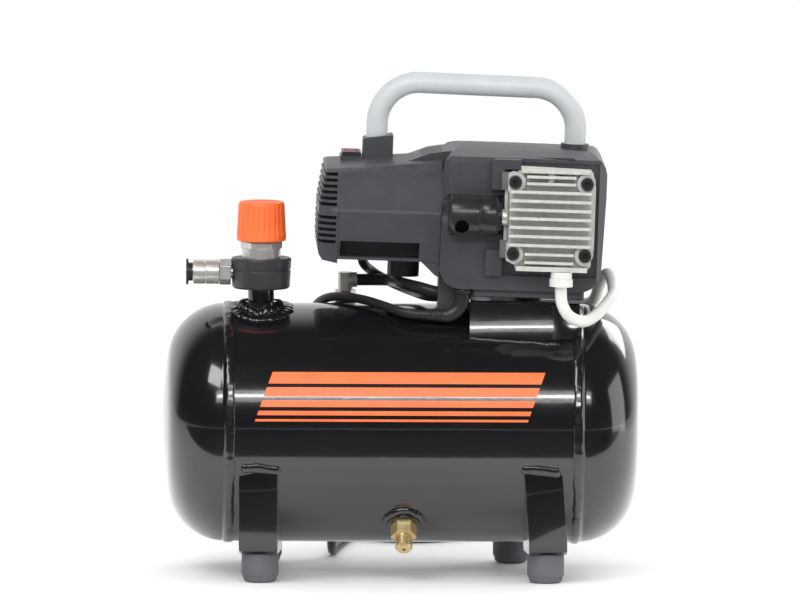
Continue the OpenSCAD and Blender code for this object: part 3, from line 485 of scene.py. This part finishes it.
above_pivot = LEAN_PIVOT + Vector((0, 0, 100))
print("100 mm up, the lean is", round(leaning([above_pivot])[0].x - LEAN_PIVOT.x, 2), "mm to the right")

# %% [markdown]
# ## The receiver's outline
# The shell and its two dished ends show as one skin, so all three come from one outline: the
# shell's straight half, then the tight curve and the flat one of a dished end.

# %% The receiver's outline
TANK_R, TANK_Z, TANK_HALF, SEAM_X = 81, 102, 163, 117.5
KNUCKLE_R, CROWN_R = TANK_R / 2, 270
WALL_PAST_SEAM = 3
WALL_STEPS, ARC_STEPS = 24, 14


def receiver_outline():
    """Half the skin's outline, from the middle of the shell to near the tip, as (x, radius)."""
    reach = CROWN_R - math.sqrt((CROWN_R - KNUCKLE_R) ** 2 - (TANK_R - KNUCKLE_R) ** 2)
    turn = math.asin((TANK_R - KNUCKLE_R) / (CROWN_R - KNUCKLE_R))
    outline = [(SEAM_X * k / WALL_STEPS, TANK_R) for k in range(WALL_STEPS + 1)]
    outline.append((SEAM_X + WALL_PAST_SEAM, TANK_R))
    for k in range(ARC_STEPS + 1):
        a = (math.pi / 2 - turn) * k / ARC_STEPS
        outline.append((TANK_HALF - reach + KNUCKLE_R * math.sin(a),
                        TANK_R - KNUCKLE_R + KNUCKLE_R * math.cos(a)))
    for k in range(1, ARC_STEPS):
        a = turn * (1 - k / ARC_STEPS)
        outline.append((TANK_HALF - CROWN_R + CROWN_R * math.cos(a), CROWN_R * math.sin(a)))
    return outline


half_outline = receiver_outline()
print("outline of", len(half_outline), "points, last at radius", round(half_outline[-1][1], 1), "mm")

# %% [markdown]
# ## The receiver's skin
# The outline is turned about the tank's axis. Rolled sheet is never quite straight, and the heat of
# a weld pulls it in a little. So the radius wanders by less than a tenth of a millimetre, and it is
# a tenth smaller at the seams, which is enough to bend the long highlights.

# %% The receiver's skin
SKIN_SIDES = 192
PULL, PULL_WIDTH = 0.12, 6
WANDER, WANDER_LENGTH, WANDERS_ROUND = 0.07, 42, 2.2


def skin_ring(x, r):
    """One ring of the skin, with the pull of the nearest seam and the sheet's own unevenness."""
    pull = -PULL * math.exp(-((abs(x) - SEAM_X) / PULL_WIDTH) ** 2)
    ring = []
    for a in full_turn(SKIN_SIDES):
        wander = WANDER * noise.noise(Vector((x / WANDER_LENGTH, WANDERS_ROUND * math.cos(a),
                                              WANDERS_ROUND * math.sin(a))))
        radius = r + pull + wander
        ring.append(Vector((x, radius * math.cos(a), TANK_Z + radius * math.sin(a))))
    return ring


bm = bmesh.new()
whole_outline = [(-x, r) for x, r in half_outline[:0:-1]] + half_outline
rows = loft(bm, [in_metres(skin_ring(x, r)) for x, r in whole_outline], caps=False)
for row, tip in ((rows[0], -TANK_HALF), (rows[-1], TANK_HALF)):
    middle = bm.verts.new(Vector((tip, 0, TANK_Z)) * MM)
    for k in range(SKIN_SIDES):
        bm.faces.new((row[k], row[(k + 1) % SKIN_SIDES], middle))
skin = piece_of("receiver_skin", bm, "black_gloss_paint",
                replaced=["tank_shell", "tank_end_left", "tank_end_right"])
print("skin", len(skin.data.polygons), "faces")

# %% [markdown]
# ## Weld beads
# A hand-laid weld is a low rounded bead with ripples across it, a little uneven in width and
# height, and it thins out where it starts and stops. One function lays it along any line on the
# tank, with its root 1 mm below the surface, so no gap shows under it.

# %% Weld beads
BEAD_STEPS = 8
BEAD_SINKS = 0.15
ROOT_WIDTH, ROOT_DEPTH = 0.8, 1
HEIGHT_SHARES = {"steady": 0.8, "ripple": 0.3, "uneven": 0.35}
WIDTH_SHARES = {"steady": 0.92, "ripple": 0.16, "uneven": 0.25}
SWAY = 0.25
THIN_END, TAPER_POINTS = 0.25, 4
LUMPS = {"length": 5, "stride": 7.3, "layer": 0}
SWELLS = {"length": 7, "stride": 3.1, "layer": 4}
SWAYS = {"length": 6, "stride": 5.7, "layer": 9}


def uneven(travelled, seed, length, stride, layer):
    """Slow noise along a bead. Each seed and layer gives another stretch of it."""
    return noise.noise(Vector((travelled / length, seed * stride, layer)))


def weld(name, line, width, height, closed=False, ripple=2.1, seed=1):
    """A bead along points on the tank's surface, in millimetres."""
    rings = []
    travelled = 0
    count = len(line)
    for i, place in enumerate(line):
        before = line[i - 1] if i or closed else place
        after = line[(i + 1) % count] if closed or i + 1 < count else place
        along = (after - before).normalized()
        if i:
            travelled += (place - line[i - 1]).length
        out = Vector((0, place.y, place.z - TANK_Z))
        out = (out - out.dot(along) * along).normalized()
        side = out.cross(along)
        wave = abs(math.sin(math.pi * travelled / ripple))
        high = (HEIGHT_SHARES["steady"] + HEIGHT_SHARES["ripple"] * wave
                + HEIGHT_SHARES["uneven"] * uneven(travelled, seed, **LUMPS))
        wide = (WIDTH_SHARES["steady"] + WIDTH_SHARES["ripple"] * wave
                + WIDTH_SHARES["uneven"] * uneven(travelled, seed, **SWELLS))
        ends = 1 if closed else min(1, THIN_END + min(i, count - 1 - i) / TAPER_POINTS)
        half = width / 2 * wide * ends
        sway = SWAY * uneven(travelled, seed, **SWAYS)
        ring = [place + side * (sway + half * math.cos(a))
                + out * (height * high * ends * math.sin(a) - BEAD_SINKS)
                for a in (math.pi * k / BEAD_STEPS for k in range(BEAD_STEPS + 1))]
        ring += [place - side * half * ROOT_WIDTH - out * ROOT_DEPTH,
                 place + side * half * ROOT_WIDTH - out * ROOT_DEPTH]
        rings.append(in_metres(ring))
    bm = bmesh.new()
    loft(bm, rings, closed=closed)
    return piece_of(name, bm, "weld_paint")


def on_tank(x, angle):
    """Point of the tank's surface at some angle from the top towards the rear, in degrees."""
    a = math.radians(angle)
    return Vector((x, TANK_R * math.sin(a), TANK_Z + TANK_R * math.cos(a)))


print("the tank's top is at", on_tank(0, 0).z, "mm")

# %% [markdown]
# ## Seams and the tank's fixtures
# The two seams run right round the tank. A short bead closes the top of each foot bracket, and a
# long one holds each side of the saddle.

# %% Seams, brackets and saddle
FRONT, REAR = -1, 1
SEAM_POINTS = 480
SEAM_HEIGHT = 1.1
# For each bracket: the middle of its end in x, the height of its end, and the side it is on
BRACKET_WELDS = {"fl": (-96.5, 78, FRONT), "fr": (92.4, 77, FRONT),
                 "bl": (-92, 78, REAR), "br": (77, 78, REAR)}
BRACKET_HALF, BRACKET_STEP, BRACKET_POINTS = 13.5, 0.6, 46
WAVER, WAVER_POINTS = 0.6, 9
SADDLE_LEFT, POINTS_PER_MM = 44, 2
# For each weld: the side it is on, its length, and the heights of its left and right ends
SADDLE_WELDS = {"front": (FRONT, 61, 165, 161.2), "rear": (REAR, 50, 163.6, 164.4)}

for name, x, width, seed in (("seam_left", -SEAM_X, 6.4, 1), ("seam_right", SEAM_X, 6.0, 2)):
    line = [on_tank(x, 360 * k / SEAM_POINTS) for k in range(SEAM_POINTS)]
    weld(name, line, width, SEAM_HEIGHT, closed=True, seed=seed)
for seed, (corner, (middle, height, side)) in enumerate(BRACKET_WELDS.items(), start=3):
    angle = side * (90 + math.degrees(math.asin((TANK_Z - height) / TANK_R)))
    line = [on_tank(middle - BRACKET_HALF + k * BRACKET_STEP, angle + WAVER * math.sin(k / WAVER_POINTS))
            for k in range(BRACKET_POINTS)]
    weld(f"bracket_weld_{corner}", line, width=7, height=2.2, seed=seed)
for seed, (place, (side, long, left_z, right_z)) in enumerate(SADDLE_WELDS.items(), start=7):
    steps = long * POINTS_PER_MM
    line = []
    for k in range(steps + 1):
        z = left_z + (right_z - left_z) * k / steps
        angle = side * math.degrees(math.acos((z - TANK_Z) / TANK_R))
        line.append(on_tank(SADDLE_LEFT + k / POINTS_PER_MM, angle))
    weld(f"saddle_weld_{place}", line, width=4.6, height=1.5, ripple=2.6, seed=seed)
print("seams and", len(BRACKET_WELDS) + len(SADDLE_WELDS), "straight welds laid")

# %% [markdown]
# ## Welds round the sockets
# Each socket and boss has a bead round its foot. The one under the outlet is heavy, with a second
# ring of spilled metal outside it. A socket stands upright, so the line round it is a circle seen
# from above. A boss stands square on the curved surface, so the circle follows the surface.

# %% Sockets and bosses
OUTLET_X, OUTLET_Y = -96, -15
# For each weld: x, y, the line's radius and number of points, then width, height, ripple and seed
SOCKET_WELDS = {"outlet_weld": (OUTLET_X, OUTLET_Y, 12.6, 90, 8.4, 4.6, 3.4, 9),
                "outlet_spill": (OUTLET_X, OUTLET_Y, 18.6, 120, 8.6, 2.0, 4.2, 14),
                "hose_socket_weld": (-38, 22, 8.2, 60, 3.4, 1.6, 2.1, 10)}
# The same for a boss, with its angle from the tank's top in place of y
BOSS_WELDS = {"drain_weld": (0.5, -140, 12, 80, 5.6, 2.8, 3.0, 11),
              "valve_weld": (106, 38, 10.6, 70, 4, 1.8, 2.1, 12),
              "safety_weld": (-96, 34, 9.2, 64, 3.6, 1.6, 2.1, 13)}


def round_a_socket(x, y, radius, count):
    """Closed line on the tank round an upright socket."""
    return [on_tank(x + radius * math.cos(a), math.degrees(math.asin((y + radius * math.sin(a)) / TANK_R)))
            for a in full_turn(count)]


def round_a_boss(x, angle, radius, count):
    """Closed line on the tank round a boss that stands square on the surface."""
    return [on_tank(x + radius * math.cos(a), angle + math.degrees(math.asin(radius * math.sin(a) / TANK_R)))
            for a in full_turn(count)]


for welds, line_round in ((SOCKET_WELDS, round_a_socket), (BOSS_WELDS, round_a_boss)):
    for name, (x, across, radius, count, width, height, ripple, seed) in welds.items():
        line = line_round(x, across, radius, count)
        weld(name, line, width, height, closed=True, ripple=ripple, seed=seed)
print(len(SOCKET_WELDS) + len(BOSS_WELDS), "round welds laid")

# %% [markdown]
# ## Stripes on the receiver
# A plain printed sticker: five orange stripes, each thinner than the one above it, with slanted
# ends. Each is a thin sheet bent to the tank. Heights are measured along the curve, from the level
# of the tank's axis.

# %% Stripes
STRIPE_LEFT, STRIPE_RIGHT, STRIPE_TOP = -104, 80, 43.3
STRIPE_WIDTHS = (8.4, 6.4, 4.6, 3.0, 1.6)
STRIPE_GAP = 2.6
STRIPE_SLANT = 0.35
STRIPE_FACE, STRIPE_BACK = 0.16, -0.6
STEPS_ALONG, STEPS_ACROSS = 100, 4


def stripe(name, low, high):
    """A band on the tank's front between two heights along its curve, in millimetres of arc."""
    upwards = list(range(STEPS_ACROSS + 1))
    rings = []
    for k in range(STEPS_ALONG + 1):
        share = k / STEPS_ALONG
        ring = []
        for lift, order in ((STRIPE_FACE, upwards), (STRIPE_BACK, upwards[::-1])):
            for j in order:
                arc = low + (high - low) * j / STEPS_ACROSS
                a = arc / TANK_R
                x = STRIPE_LEFT + (STRIPE_RIGHT - STRIPE_LEFT) * share + STRIPE_SLANT * arc
                r = TANK_R + lift
                ring.append(Vector((x, -r * math.cos(a), TANK_Z + r * math.sin(a))))
        rings.append(in_metres(ring))
    bm = bmesh.new()
    loft(bm, rings)
    return piece_of(name, bm, "orange_plastic", smooth=False)


top = STRIPE_TOP
for number, thick in enumerate(STRIPE_WIDTHS, start=1):
    stripe(f"stripe_{number}", top - thick, top)
    top -= thick + STRIPE_GAP
print("stripes down to", round(top + STRIPE_GAP, 1), "mm of arc")

# %% [markdown]
# ## Hose, cable and delivery tube
# These follow the same points as the CAD solids, with more steps, so they bend without corners. A
# ring of points is carried along the line, and turned only as much as the line turns, so the tube
# doesn't twist.

# %% Lines
HOSE_ROUTE = [(-29.9, 22, 197), (-20.6, 20.4, 197.2), (-12.2, 15.7, 197.6), (-6.2, 8.5, 197.9),
              (-3, -2, 198), (-0.8, -10.2, 198), (3.9, -18.4, 197.5), (11.1, -24.6, 196.4),
              (17.6, -27.6, 194.8), (24.6, -28, 193.2)]
CABLE_ROUTE = [(-27, 12, 216), (-27, 13, 212), (-25.4, 18, 208), (-22, 26, 204), (-16, 31, 199.5),
               (-8, 31, 195), (1, 25, 191.4), (8, 13, 189.8), (12.2, 0, 189.4), (15.6, -10, 189.4),
               (19.8, -16.2, 189.4), (24.6, -17.4, 189.4)]
DELIVERY_ROUTE = [(105, -75, 205.6), (104.9, -75, 200), (105.8, -74.5, 190.8), (110.5, -72, 182.4),
                  (119.2, -66, 177.9), (127.2, -56, 179.5), (134.5, -42, 184.7), (141.5, -24, 191.3),
                  (142.7, -12, 194.2), (142.2, 0, 199.6), (139.8, 14, 202.5), (137, 24, 198.5),
                  (134.4, 33, 191.2), (132.8, 42, 184.2), (129.6, 50.5, 179.2), (122.5, 57.4, 177.4),
                  (116.6, 58.65, 177.2), (113.2, 58.7, 177.2)]
HOSE_D, CABLE_D, DELIVERY_D = 8, 6.6, 8
LINE_STEPS = 9
TUBE_SIDES = 28
FIRST_SIDE = Vector((0.3, 0.5, 0.81))


def tube_rings(line, radii):
    """Rings of a tube along a line, with one radius for each point."""
    rings = []
    side = None
    for i, middle in enumerate(line):
        along = (line[min(i + 1, len(line) - 1)] - line[max(i - 1, 0)]).normalized()
        if side is None:
            side = along.cross(FIRST_SIDE).normalized()
        side = (side - side.dot(along) * along).normalized()
        other = along.cross(side)
        rings.append([middle + radii[i] * (math.cos(a) * side + math.sin(a) * other)
                      for a in full_turn(TUBE_SIDES)])
    return rings


def line_piece(name, route, diameter, slot, replaced):
    line = smooth_line(route, LINE_STEPS)
    bm = bmesh.new()
    loft(bm, [in_metres(ring) for ring in tube_rings(line, [diameter / 2] * len(line))])
    print(name, round(line_length(line)), "mm long")
    return piece_of(name, bm, slot, replaced=[replaced])


line_piece("air_hose", HOSE_ROUTE, HOSE_D, "hose_rubber", "pressure_hose")
line_piece("motor_lead", CABLE_ROUTE, CABLE_D, "hose_rubber", "motor_cable")
line_piece("pressure_tube", DELIVERY_ROUTE, DELIVERY_D, "ivory_plastic", "delivery_tube")

# %% [markdown]
# ## Strain relief
# The lead leaves the cover's floor through a soft sleeve that turns to the left and tapers. Grooves
# round its thin half let it bend. It is one tube whose radius changes along it, and a short collar
# below the cover holds it.

# %% Strain relief
SLEEVE_X, SLEEVE_Y, SLEEVE_TOP = 39.6, -44, 202
SLEEVE_R, SLEEVE_LOSES = 4.7, 1.0
BEND_X, BEND_Z, BEND_R, BEND_STEPS = 27.6, 190, 12, 14
TIP_LENGTH, TIP_STEPS, TIP_STEP = 12, 30, 0.4
BANDS, GROOVE, GROOVED_FROM, GROOVED_TO = 12, 0.55, 0.1, 0.93
# The collar's outline as (radius, height)
COLLAR = [(4.6, 193.5), (6, 193.5), (6.5, 194), (6.5, 196.3), (6, 196.8), (4.6, 196.8)]
COLLAR_SIDES = 32


def sleeve_line():
    """Down from the cover, round to the left, then straight."""
    line = [Vector((SLEEVE_X, SLEEVE_Y, SLEEVE_TOP - k)) for k in range(SLEEVE_TOP - BEND_Z)]
    for k in range(1, BEND_STEPS + 1):
        a = math.pi / 2 * k / BEND_STEPS
        line.append(Vector((BEND_X + BEND_R * math.cos(a), SLEEVE_Y, BEND_Z - BEND_R * math.sin(a))))
    for k in range(1, TIP_STEPS + 1):
        line.append(Vector((BEND_X - k * TIP_STEP, SLEEVE_Y, BEND_Z - BEND_R)))
    return line


def sleeve_radius(place):
    """Thinner along the straight end, with a groove in every second band."""
    taper = max(0, (BEND_X - place.x) / TIP_LENGTH)
    grooved = GROOVED_FROM < taper < GROOVED_TO and int(taper * BANDS) % 2
    return SLEEVE_R - SLEEVE_LOSES * taper - (GROOVE if grooved else 0)


bm = bmesh.new()
sleeve = sleeve_line()
sleeve_rings = tube_rings(sleeve, [sleeve_radius(place) for place in sleeve])
loft(bm, [in_metres(leaning(ring)) for ring in sleeve_rings])
loft(bm, [in_metres(leaning([(SLEEVE_X + r * math.cos(a), SLEEVE_Y + r * math.sin(a), z)
                             for a in full_turn(COLLAR_SIDES)])) for r, z in COLLAR])
piece_of("strain_relief", bm, "black_fittings", replaced=["cord_gland"])
print("strain relief", round(line_length(sleeve), 1), "mm along its middle")

# %% [markdown]
# ## Intake silencer
# A glossy plastic drum with a slightly narrower outer half, a ring between the halves and a rounded
# shoulder at each end. A bright nipple joins it to the cylinder head. Both are turned from an
# outline, as on a lathe.

# %% Intake silencer
SILENCER_Y, SILENCER_Z = -62, 248.3
DRUM = [(27.6, 10.8), (27.8, 12.2), (28.6, 13.5), (30, 14.2), (47.6, 14.2), (48.4, 14.0), (48.7, 13.5),
        (49.2, 13.5), (49.5, 13.9), (59, 13.9), (60.6, 13.4), (61.4, 12.2), (61.6, 10), (63.2, 10),
        (63.4, 9.6)]
DRUM_SIDES = 64
NIPPLE = [(61, 1.7), (63.3, 1.7), (63.3, 5.1), (63.6, 5.5), (67.3, 5.5), (67.6, 5.1), (67.6, 1.7), (74, 1.7)]
NIPPLE_SIDES, NIPPLE_FORWARD = 40, 7


def turned(name, outline, centre, sides, slot, replaced=()):
    """A round piece from an outline of (x, radius) about a level axis, leaning with the unit."""
    bm = bmesh.new()
    loft(bm, [in_metres(leaning([centre + Vector((x, r * math.cos(a), r * math.sin(a)))
                                 for a in full_turn(sides)])) for x, r in outline])
    return piece_of(name, bm, slot, replaced=replaced)


drum_middle = Vector((0, SILENCER_Y, SILENCER_Z))
nipple_middle = drum_middle + Vector((0, -NIPPLE_FORWARD, 0))
turned("silencer_drum", DRUM, drum_middle, DRUM_SIDES, "gloss_black_plastic", ["intake_silencer"])
turned("silencer_nipple", NIPPLE, nipple_middle, NIPPLE_SIDES, "nickel")
print("silencer", round(DRUM[-1][0] - DRUM[0][0], 1), "mm long")

# %% [markdown]
# ## The silencer's mouth
# Air goes in through a round hole low on the drum's front. The drum is closed here, so a small
# plug with a sharp rim lies in its surface. Its black is painted shade for the inside of a hole.

# %% The silencer's mouth
MOUTH_X, MOUTH_OUT = 36.4, 13.5
MOUTH_TILT = math.radians(30)
# The plug's outline as (radius, how far it stands out)
MOUTH = [(4.9, -0.5), (5.0, 0.4), (4.8, 0.75), (0.3, 0.75)]
MOUTH_SIDES = 40

mouth = Vector((MOUTH_X, SILENCER_Y - MOUTH_OUT * math.cos(MOUTH_TILT),
                SILENCER_Z - MOUTH_OUT * math.sin(MOUTH_TILT)))
outward = Vector((0, -math.cos(MOUTH_TILT), -math.sin(MOUTH_TILT)))
upward = outward.cross(Vector((1, 0, 0)))


def mouth_ring(r, rise):
    middle = mouth + outward * rise
    return [middle + Vector((r * math.cos(a), 0, 0)) + upward * r * math.sin(a)
            for a in full_turn(MOUTH_SIDES)]


bm = bmesh.new()
loft(bm, [in_metres(leaning(mouth_ring(r, rise))) for r, rise in MOUTH])
# The plug's black is painted shade for the inside of the hole.
piece_of("silencer_mouth", bm, "painted_hole_shade")
print("mouth", round(2 * max(r for r, rise in MOUTH)), "mm across")

# %% [markdown]
# ## The window liner
# The pump cover has a window for the cylinder. A dark plate just inside it, with a round hole for
# the cylinder, closes what is left, so nothing bright shows past the head. Its outer outline is a
# rectangle with as many points as the hole, so one skin joins the two.

# %% The window liner
WINDOW_X, WINDOW_Z, WINDOW_HALF = 96.8, 246, (34, 40)
BORE_X, BORE_Z, BORE_R = 95.6, 248.3, 26
LINER_FRONT, LINER_BACK = -52.95, -52.1
LINER_POINTS = 64


def rectangle_point(angle):
    """Where a ray from the middle of the window leaves its rectangle."""
    x, z = math.cos(angle), math.sin(angle)
    reach = min(WINDOW_HALF[0] / abs(x), WINDOW_HALF[1] / abs(z))
    return WINDOW_X + x * reach, WINDOW_Z + z * reach


angles = [2 * math.pi * (k + 0.5) / LINER_POINTS for k in range(LINER_POINTS)]
outer = [rectangle_point(a) for a in angles]
hole = [(BORE_X + BORE_R * math.cos(a), BORE_Z + BORE_R * math.sin(a)) for a in angles]
bm = bmesh.new()
walls = ((outer, LINER_FRONT), (outer, LINER_BACK), (hole, LINER_BACK), (hole, LINER_FRONT))
loft(bm, [in_metres(leaning([(x, y, z) for x, z in outline])) for outline, y in walls], closed=True)
piece_of("window_liner", bm, "anthracite_plastic", smooth=False)
print("liner", 2 * WINDOW_HALF[0], "by", 2 * WINDOW_HALF[1], "mm")

# %% [markdown]
# ## The cover's skirt
# A skirt below the cover's front edge hides the crankcase's foot and leaves a narrow gap above the
# saddle. It is one outline, seen from the side, that is carried from left to right. The outline
# steps back at both ends, so the corners are round.

# %% The cover's skirt
# The outline as (y, height), and the stations as (x, how far the outline steps back)
SKIRT = [(-49, 199.5), (-49, 194.4), (-48.2, 192.4), (-46.2, 191.6), (-45, 191.6), (-45, 199.5)]
SKIRT_STATIONS = ((45.6, 3), (47, 0.6), (49, 0), (118, 0), (120, 0.6), (121.4, 3))

bm = bmesh.new()
loft(bm, [in_metres(leaning([(x, y + back, z) for y, z in SKIRT])) for x, back in SKIRT_STATIONS])
piece_of("cover_skirt", bm, "anthracite_plastic", smooth=False)
print("skirt", round(SKIRT_STATIONS[-1][0] - SKIRT_STATIONS[0][0], 1), "mm wide")

# %% [markdown]
# ## Pressure knob
# Twenty-four narrow flutes run up the knob. The foot is smooth and the top is slightly hollow with
# a rounded edge. Each row of the outline says how much of the flutes it has, so they fade out.

# %% Pressure knob
# Rows of (height, radius, share of the flutes)
KNOB = [(227.1, 16.2, 0), (227.5, 16.75, 0), (230, 16.75, 0), (231.4, 16.65, 1), (240, 16.2, 1),
        (248, 15.8, 1), (250.8, 15.65, 1), (251.8, 15.5, 0.4), (252.8, 15.2, 0), (253.5, 14.6, 0),
        (253.7, 13.6, 0), (253.4, 12.4, 0), (252.7, 11, 0), (252.5, 4, 0), (252.5, 0.5, 0)]
FLUTES, FLUTE_POINTS = 24, 12
FLUTE_DEPTH, FLUTE_HALF = 0.75, 0.22


def knob_ring(z, r, fluted):
    ring = []
    for k, a in enumerate(full_turn(FLUTES * FLUTE_POINTS)):
        phase = (k % FLUTE_POINTS) / FLUTE_POINTS
        radius = r - max(0, 1 - abs(phase - 0.5) / FLUTE_HALF) * FLUTE_DEPTH * fluted
        ring.append(Vector((OUTLET_X + radius * math.cos(a), OUTLET_Y + radius * math.sin(a), z)))
    return ring


bm = bmesh.new()
loft(bm, [in_metres(knob_ring(*row)) for row in KNOB])
piece_of("outlet_knob", bm, "orange_plastic", body="pressure_knob", replaced=["regulator_knob"])
print("knob", round(KNOB[-1][0] - KNOB[0][0], 1), "mm high with", FLUTES, "flutes")

# %% The mains lead
def round_line(name, line, diameter):
    """A round tube along a line, as a curve object of one open spline."""
    data = bpy.data.curves.new(name, "CURVE")
    data.dimensions = "3D"
    data.bevel_depth = diameter / 2
    data.bevel_resolution = 5
    data.use_fill_caps = True
    spline = data.splines.new("POLY")
    spline.points.add(len(line) - 1)
    for point, place in zip(spline.points, line):
        point.co = (*place, 1)
    spline.use_smooth = True
    made = bpy.data.objects.new(name, data)
    bpy.context.scene.collection.objects.link(made)
    return made


lead = round_line("mains_lead", whole_lead, LEAD_D)
lead.data.materials.append(FINISHES["hose_rubber"])
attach(lead, "frame")
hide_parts("mains_cord", "cord_coil", "cord_tail")

# %% [markdown]
# ## The floor
# A pale matt floor runs out so far that no edge of it shows from any side. One function makes it
# and, further on, the black card: each is a mesh with a plain material that belongs to the studio.

# %% The floor
FLOOR_HALF, FLOOR_SQUARES = 30, 8
FLOOR_COLOUR = (0.90, 0.90, 0.90, 1)
FLOOR_ROUGHNESS = 0.55


def stage_piece(name, mesh, material_name, inputs):
    """A part of the studio, with a plain material. It isn't part of the object."""
    material = bpy.data.materials.new(material_name)
    material.use_nodes = True
    fill(material.node_tree, material.node_tree.nodes["Principled BSDF"], inputs)
    mesh.materials.append(material)
    made = bpy.data.objects.new(name, mesh)
    bpy.context.scene.collection.objects.link(made)
    return made


bm = bmesh.new()
bmesh.ops.create_grid(bm, x_segments=FLOOR_SQUARES, y_segments=FLOOR_SQUARES, size=FLOOR_HALF)
floor_mesh = bpy.data.meshes.new("floor")
bm.to_mesh(floor_mesh)
bm.free()
stage_piece("floor", floor_mesh, "pale_floor", {"Base Color": FLOOR_COLOUR, "Roughness": FLOOR_ROUGHNESS})
print("floor", 2 * FLOOR_HALF, "m wide")

# %% [markdown]
# ## The sky
# The sky is a plain soft white for the camera and for matt surfaces. Gloss sees a darker room that
# is bright only at the back, as in a studio. A Light Path node tells the two apart.

# %% The sky
SKY_STRENGTH = 1.2
ROOM_DARK, ROOM_BRIGHT = 0.035, 0.85
BRIGHT_FROM, BRIGHT_TO = 0.25, 0.75

world = bpy.data.worlds.new("studio")
bpy.context.scene.world = world
world.use_nodes = True
sky = world.node_tree
sky.nodes.clear()
path = add(sky, "ShaderNodeLightPath")
around = add(sky, "ShaderNodeTexCoord")
parts = add(sky, "ShaderNodeSeparateXYZ", {0: around.outputs["Generated"]})
behind = add(sky, "ShaderNodeMapRange", {"Value": parts.outputs["Y"], "From Min": BRIGHT_FROM,
                                         "From Max": BRIGHT_TO, "To Min": ROOM_DARK,
                                         "To Max": ROOM_BRIGHT}, interpolation_type="SMOOTHSTEP")
room = add(sky, "ShaderNodeBackground", {"Color": behind.outputs[0], "Strength": 1.0})
white = add(sky, "ShaderNodeBackground", {"Color": (1, 1, 1, 1), "Strength": SKY_STRENGTH})
either = add(sky, "ShaderNodeMixShader", {0: path.outputs["Is Glossy Ray"], 1: white.outputs[0],
                                          2: room.outputs[0]})
add(sky, "ShaderNodeOutputWorld", {"Surface": either.outputs[0]})
bpy.context.scene.view_settings.view_transform = "Standard"
print("sky of", len(sky.nodes), "nodes")

# %% [markdown]
# ## The lamps
# A long narrow lamp draws one line of light along the receiver, inside the soft glow of a wider
# one. The key lamp models the covers from the upper left, the side lamp shows the tank's right end,
# and the rim lamp lifts the object off the white behind it.

# %% The lamps
# For each lamp: its place, what it points at, its two sides in metres and its power in watts
LAMPS = {"strip_lamp": ((0, -1.39, 0.93), (0, 0, 0.13), (1.3, 0.075), 5),
         "glow_lamp": ((0, -1.44, 0.95), (0, 0, 0.13), (1.5, 0.34), 4),
         "key_lamp": ((-0.9, -1.3, 1.8), (0, 0, 0.2), (1.0, 0.7), 14),
         "side_lamp": ((1.6, -0.25, 0.4), (0.1, 0, 0.15), (0.9, 1.1), 6),
         "rim_lamp": ((1.1, 1.2, 1.1), (0, 0, 0.2), (0.8, 0.8), 8)}

for name, (place, target, size, watts) in LAMPS.items():
    light = bpy.data.lights.new(name, "AREA")
    light.shape = "RECTANGLE"
    light.size, light.size_y = size
    light.energy = watts
    lamp = bpy.data.objects.new(name, light)
    lamp.location = place
    lamp.rotation_mode = "QUATERNION"
    lamp.rotation_quaternion = (Vector(target) - Vector(place)).to_track_quat("-Z", "Y")
    bpy.context.scene.collection.objects.link(lamp)
print(len(LAMPS), "lamps,", sum(lamp[-1] for lamp in LAMPS.values()), "W in all")

# %% [markdown]
# ## The black card
# A gloss black tank mirrors the pale floor in front of it and would look grey, so a studio lays a
# black card there. This one is seen only in mirrored light, and the floor itself stays pale.

# %% The black card
CARD_HALF, CARD_NEAR, CARD_FAR, CARD_LIFT = 4, -0.24, -6, 0.0006
CARD_COLOUR = (0.02, 0.02, 0.02, 1)

corners = [(-CARD_HALF, CARD_NEAR), (CARD_HALF, CARD_NEAR), (CARD_HALF, CARD_FAR), (-CARD_HALF, CARD_FAR)]
card_mesh = bpy.data.meshes.new("black_card")
card_mesh.from_pydata([(x, y, CARD_LIFT) for x, y in corners], [], [(0, 1, 2, 3)])
card = stage_piece("black_card", card_mesh, "black_card", {"Base Color": CARD_COLOUR})
for unseen_by in ("visible_camera", "visible_diffuse", "visible_shadow", "visible_transmission"):
    setattr(card, unseen_by, False)
print("card from", CARD_NEAR, "to", CARD_FAR, "m")
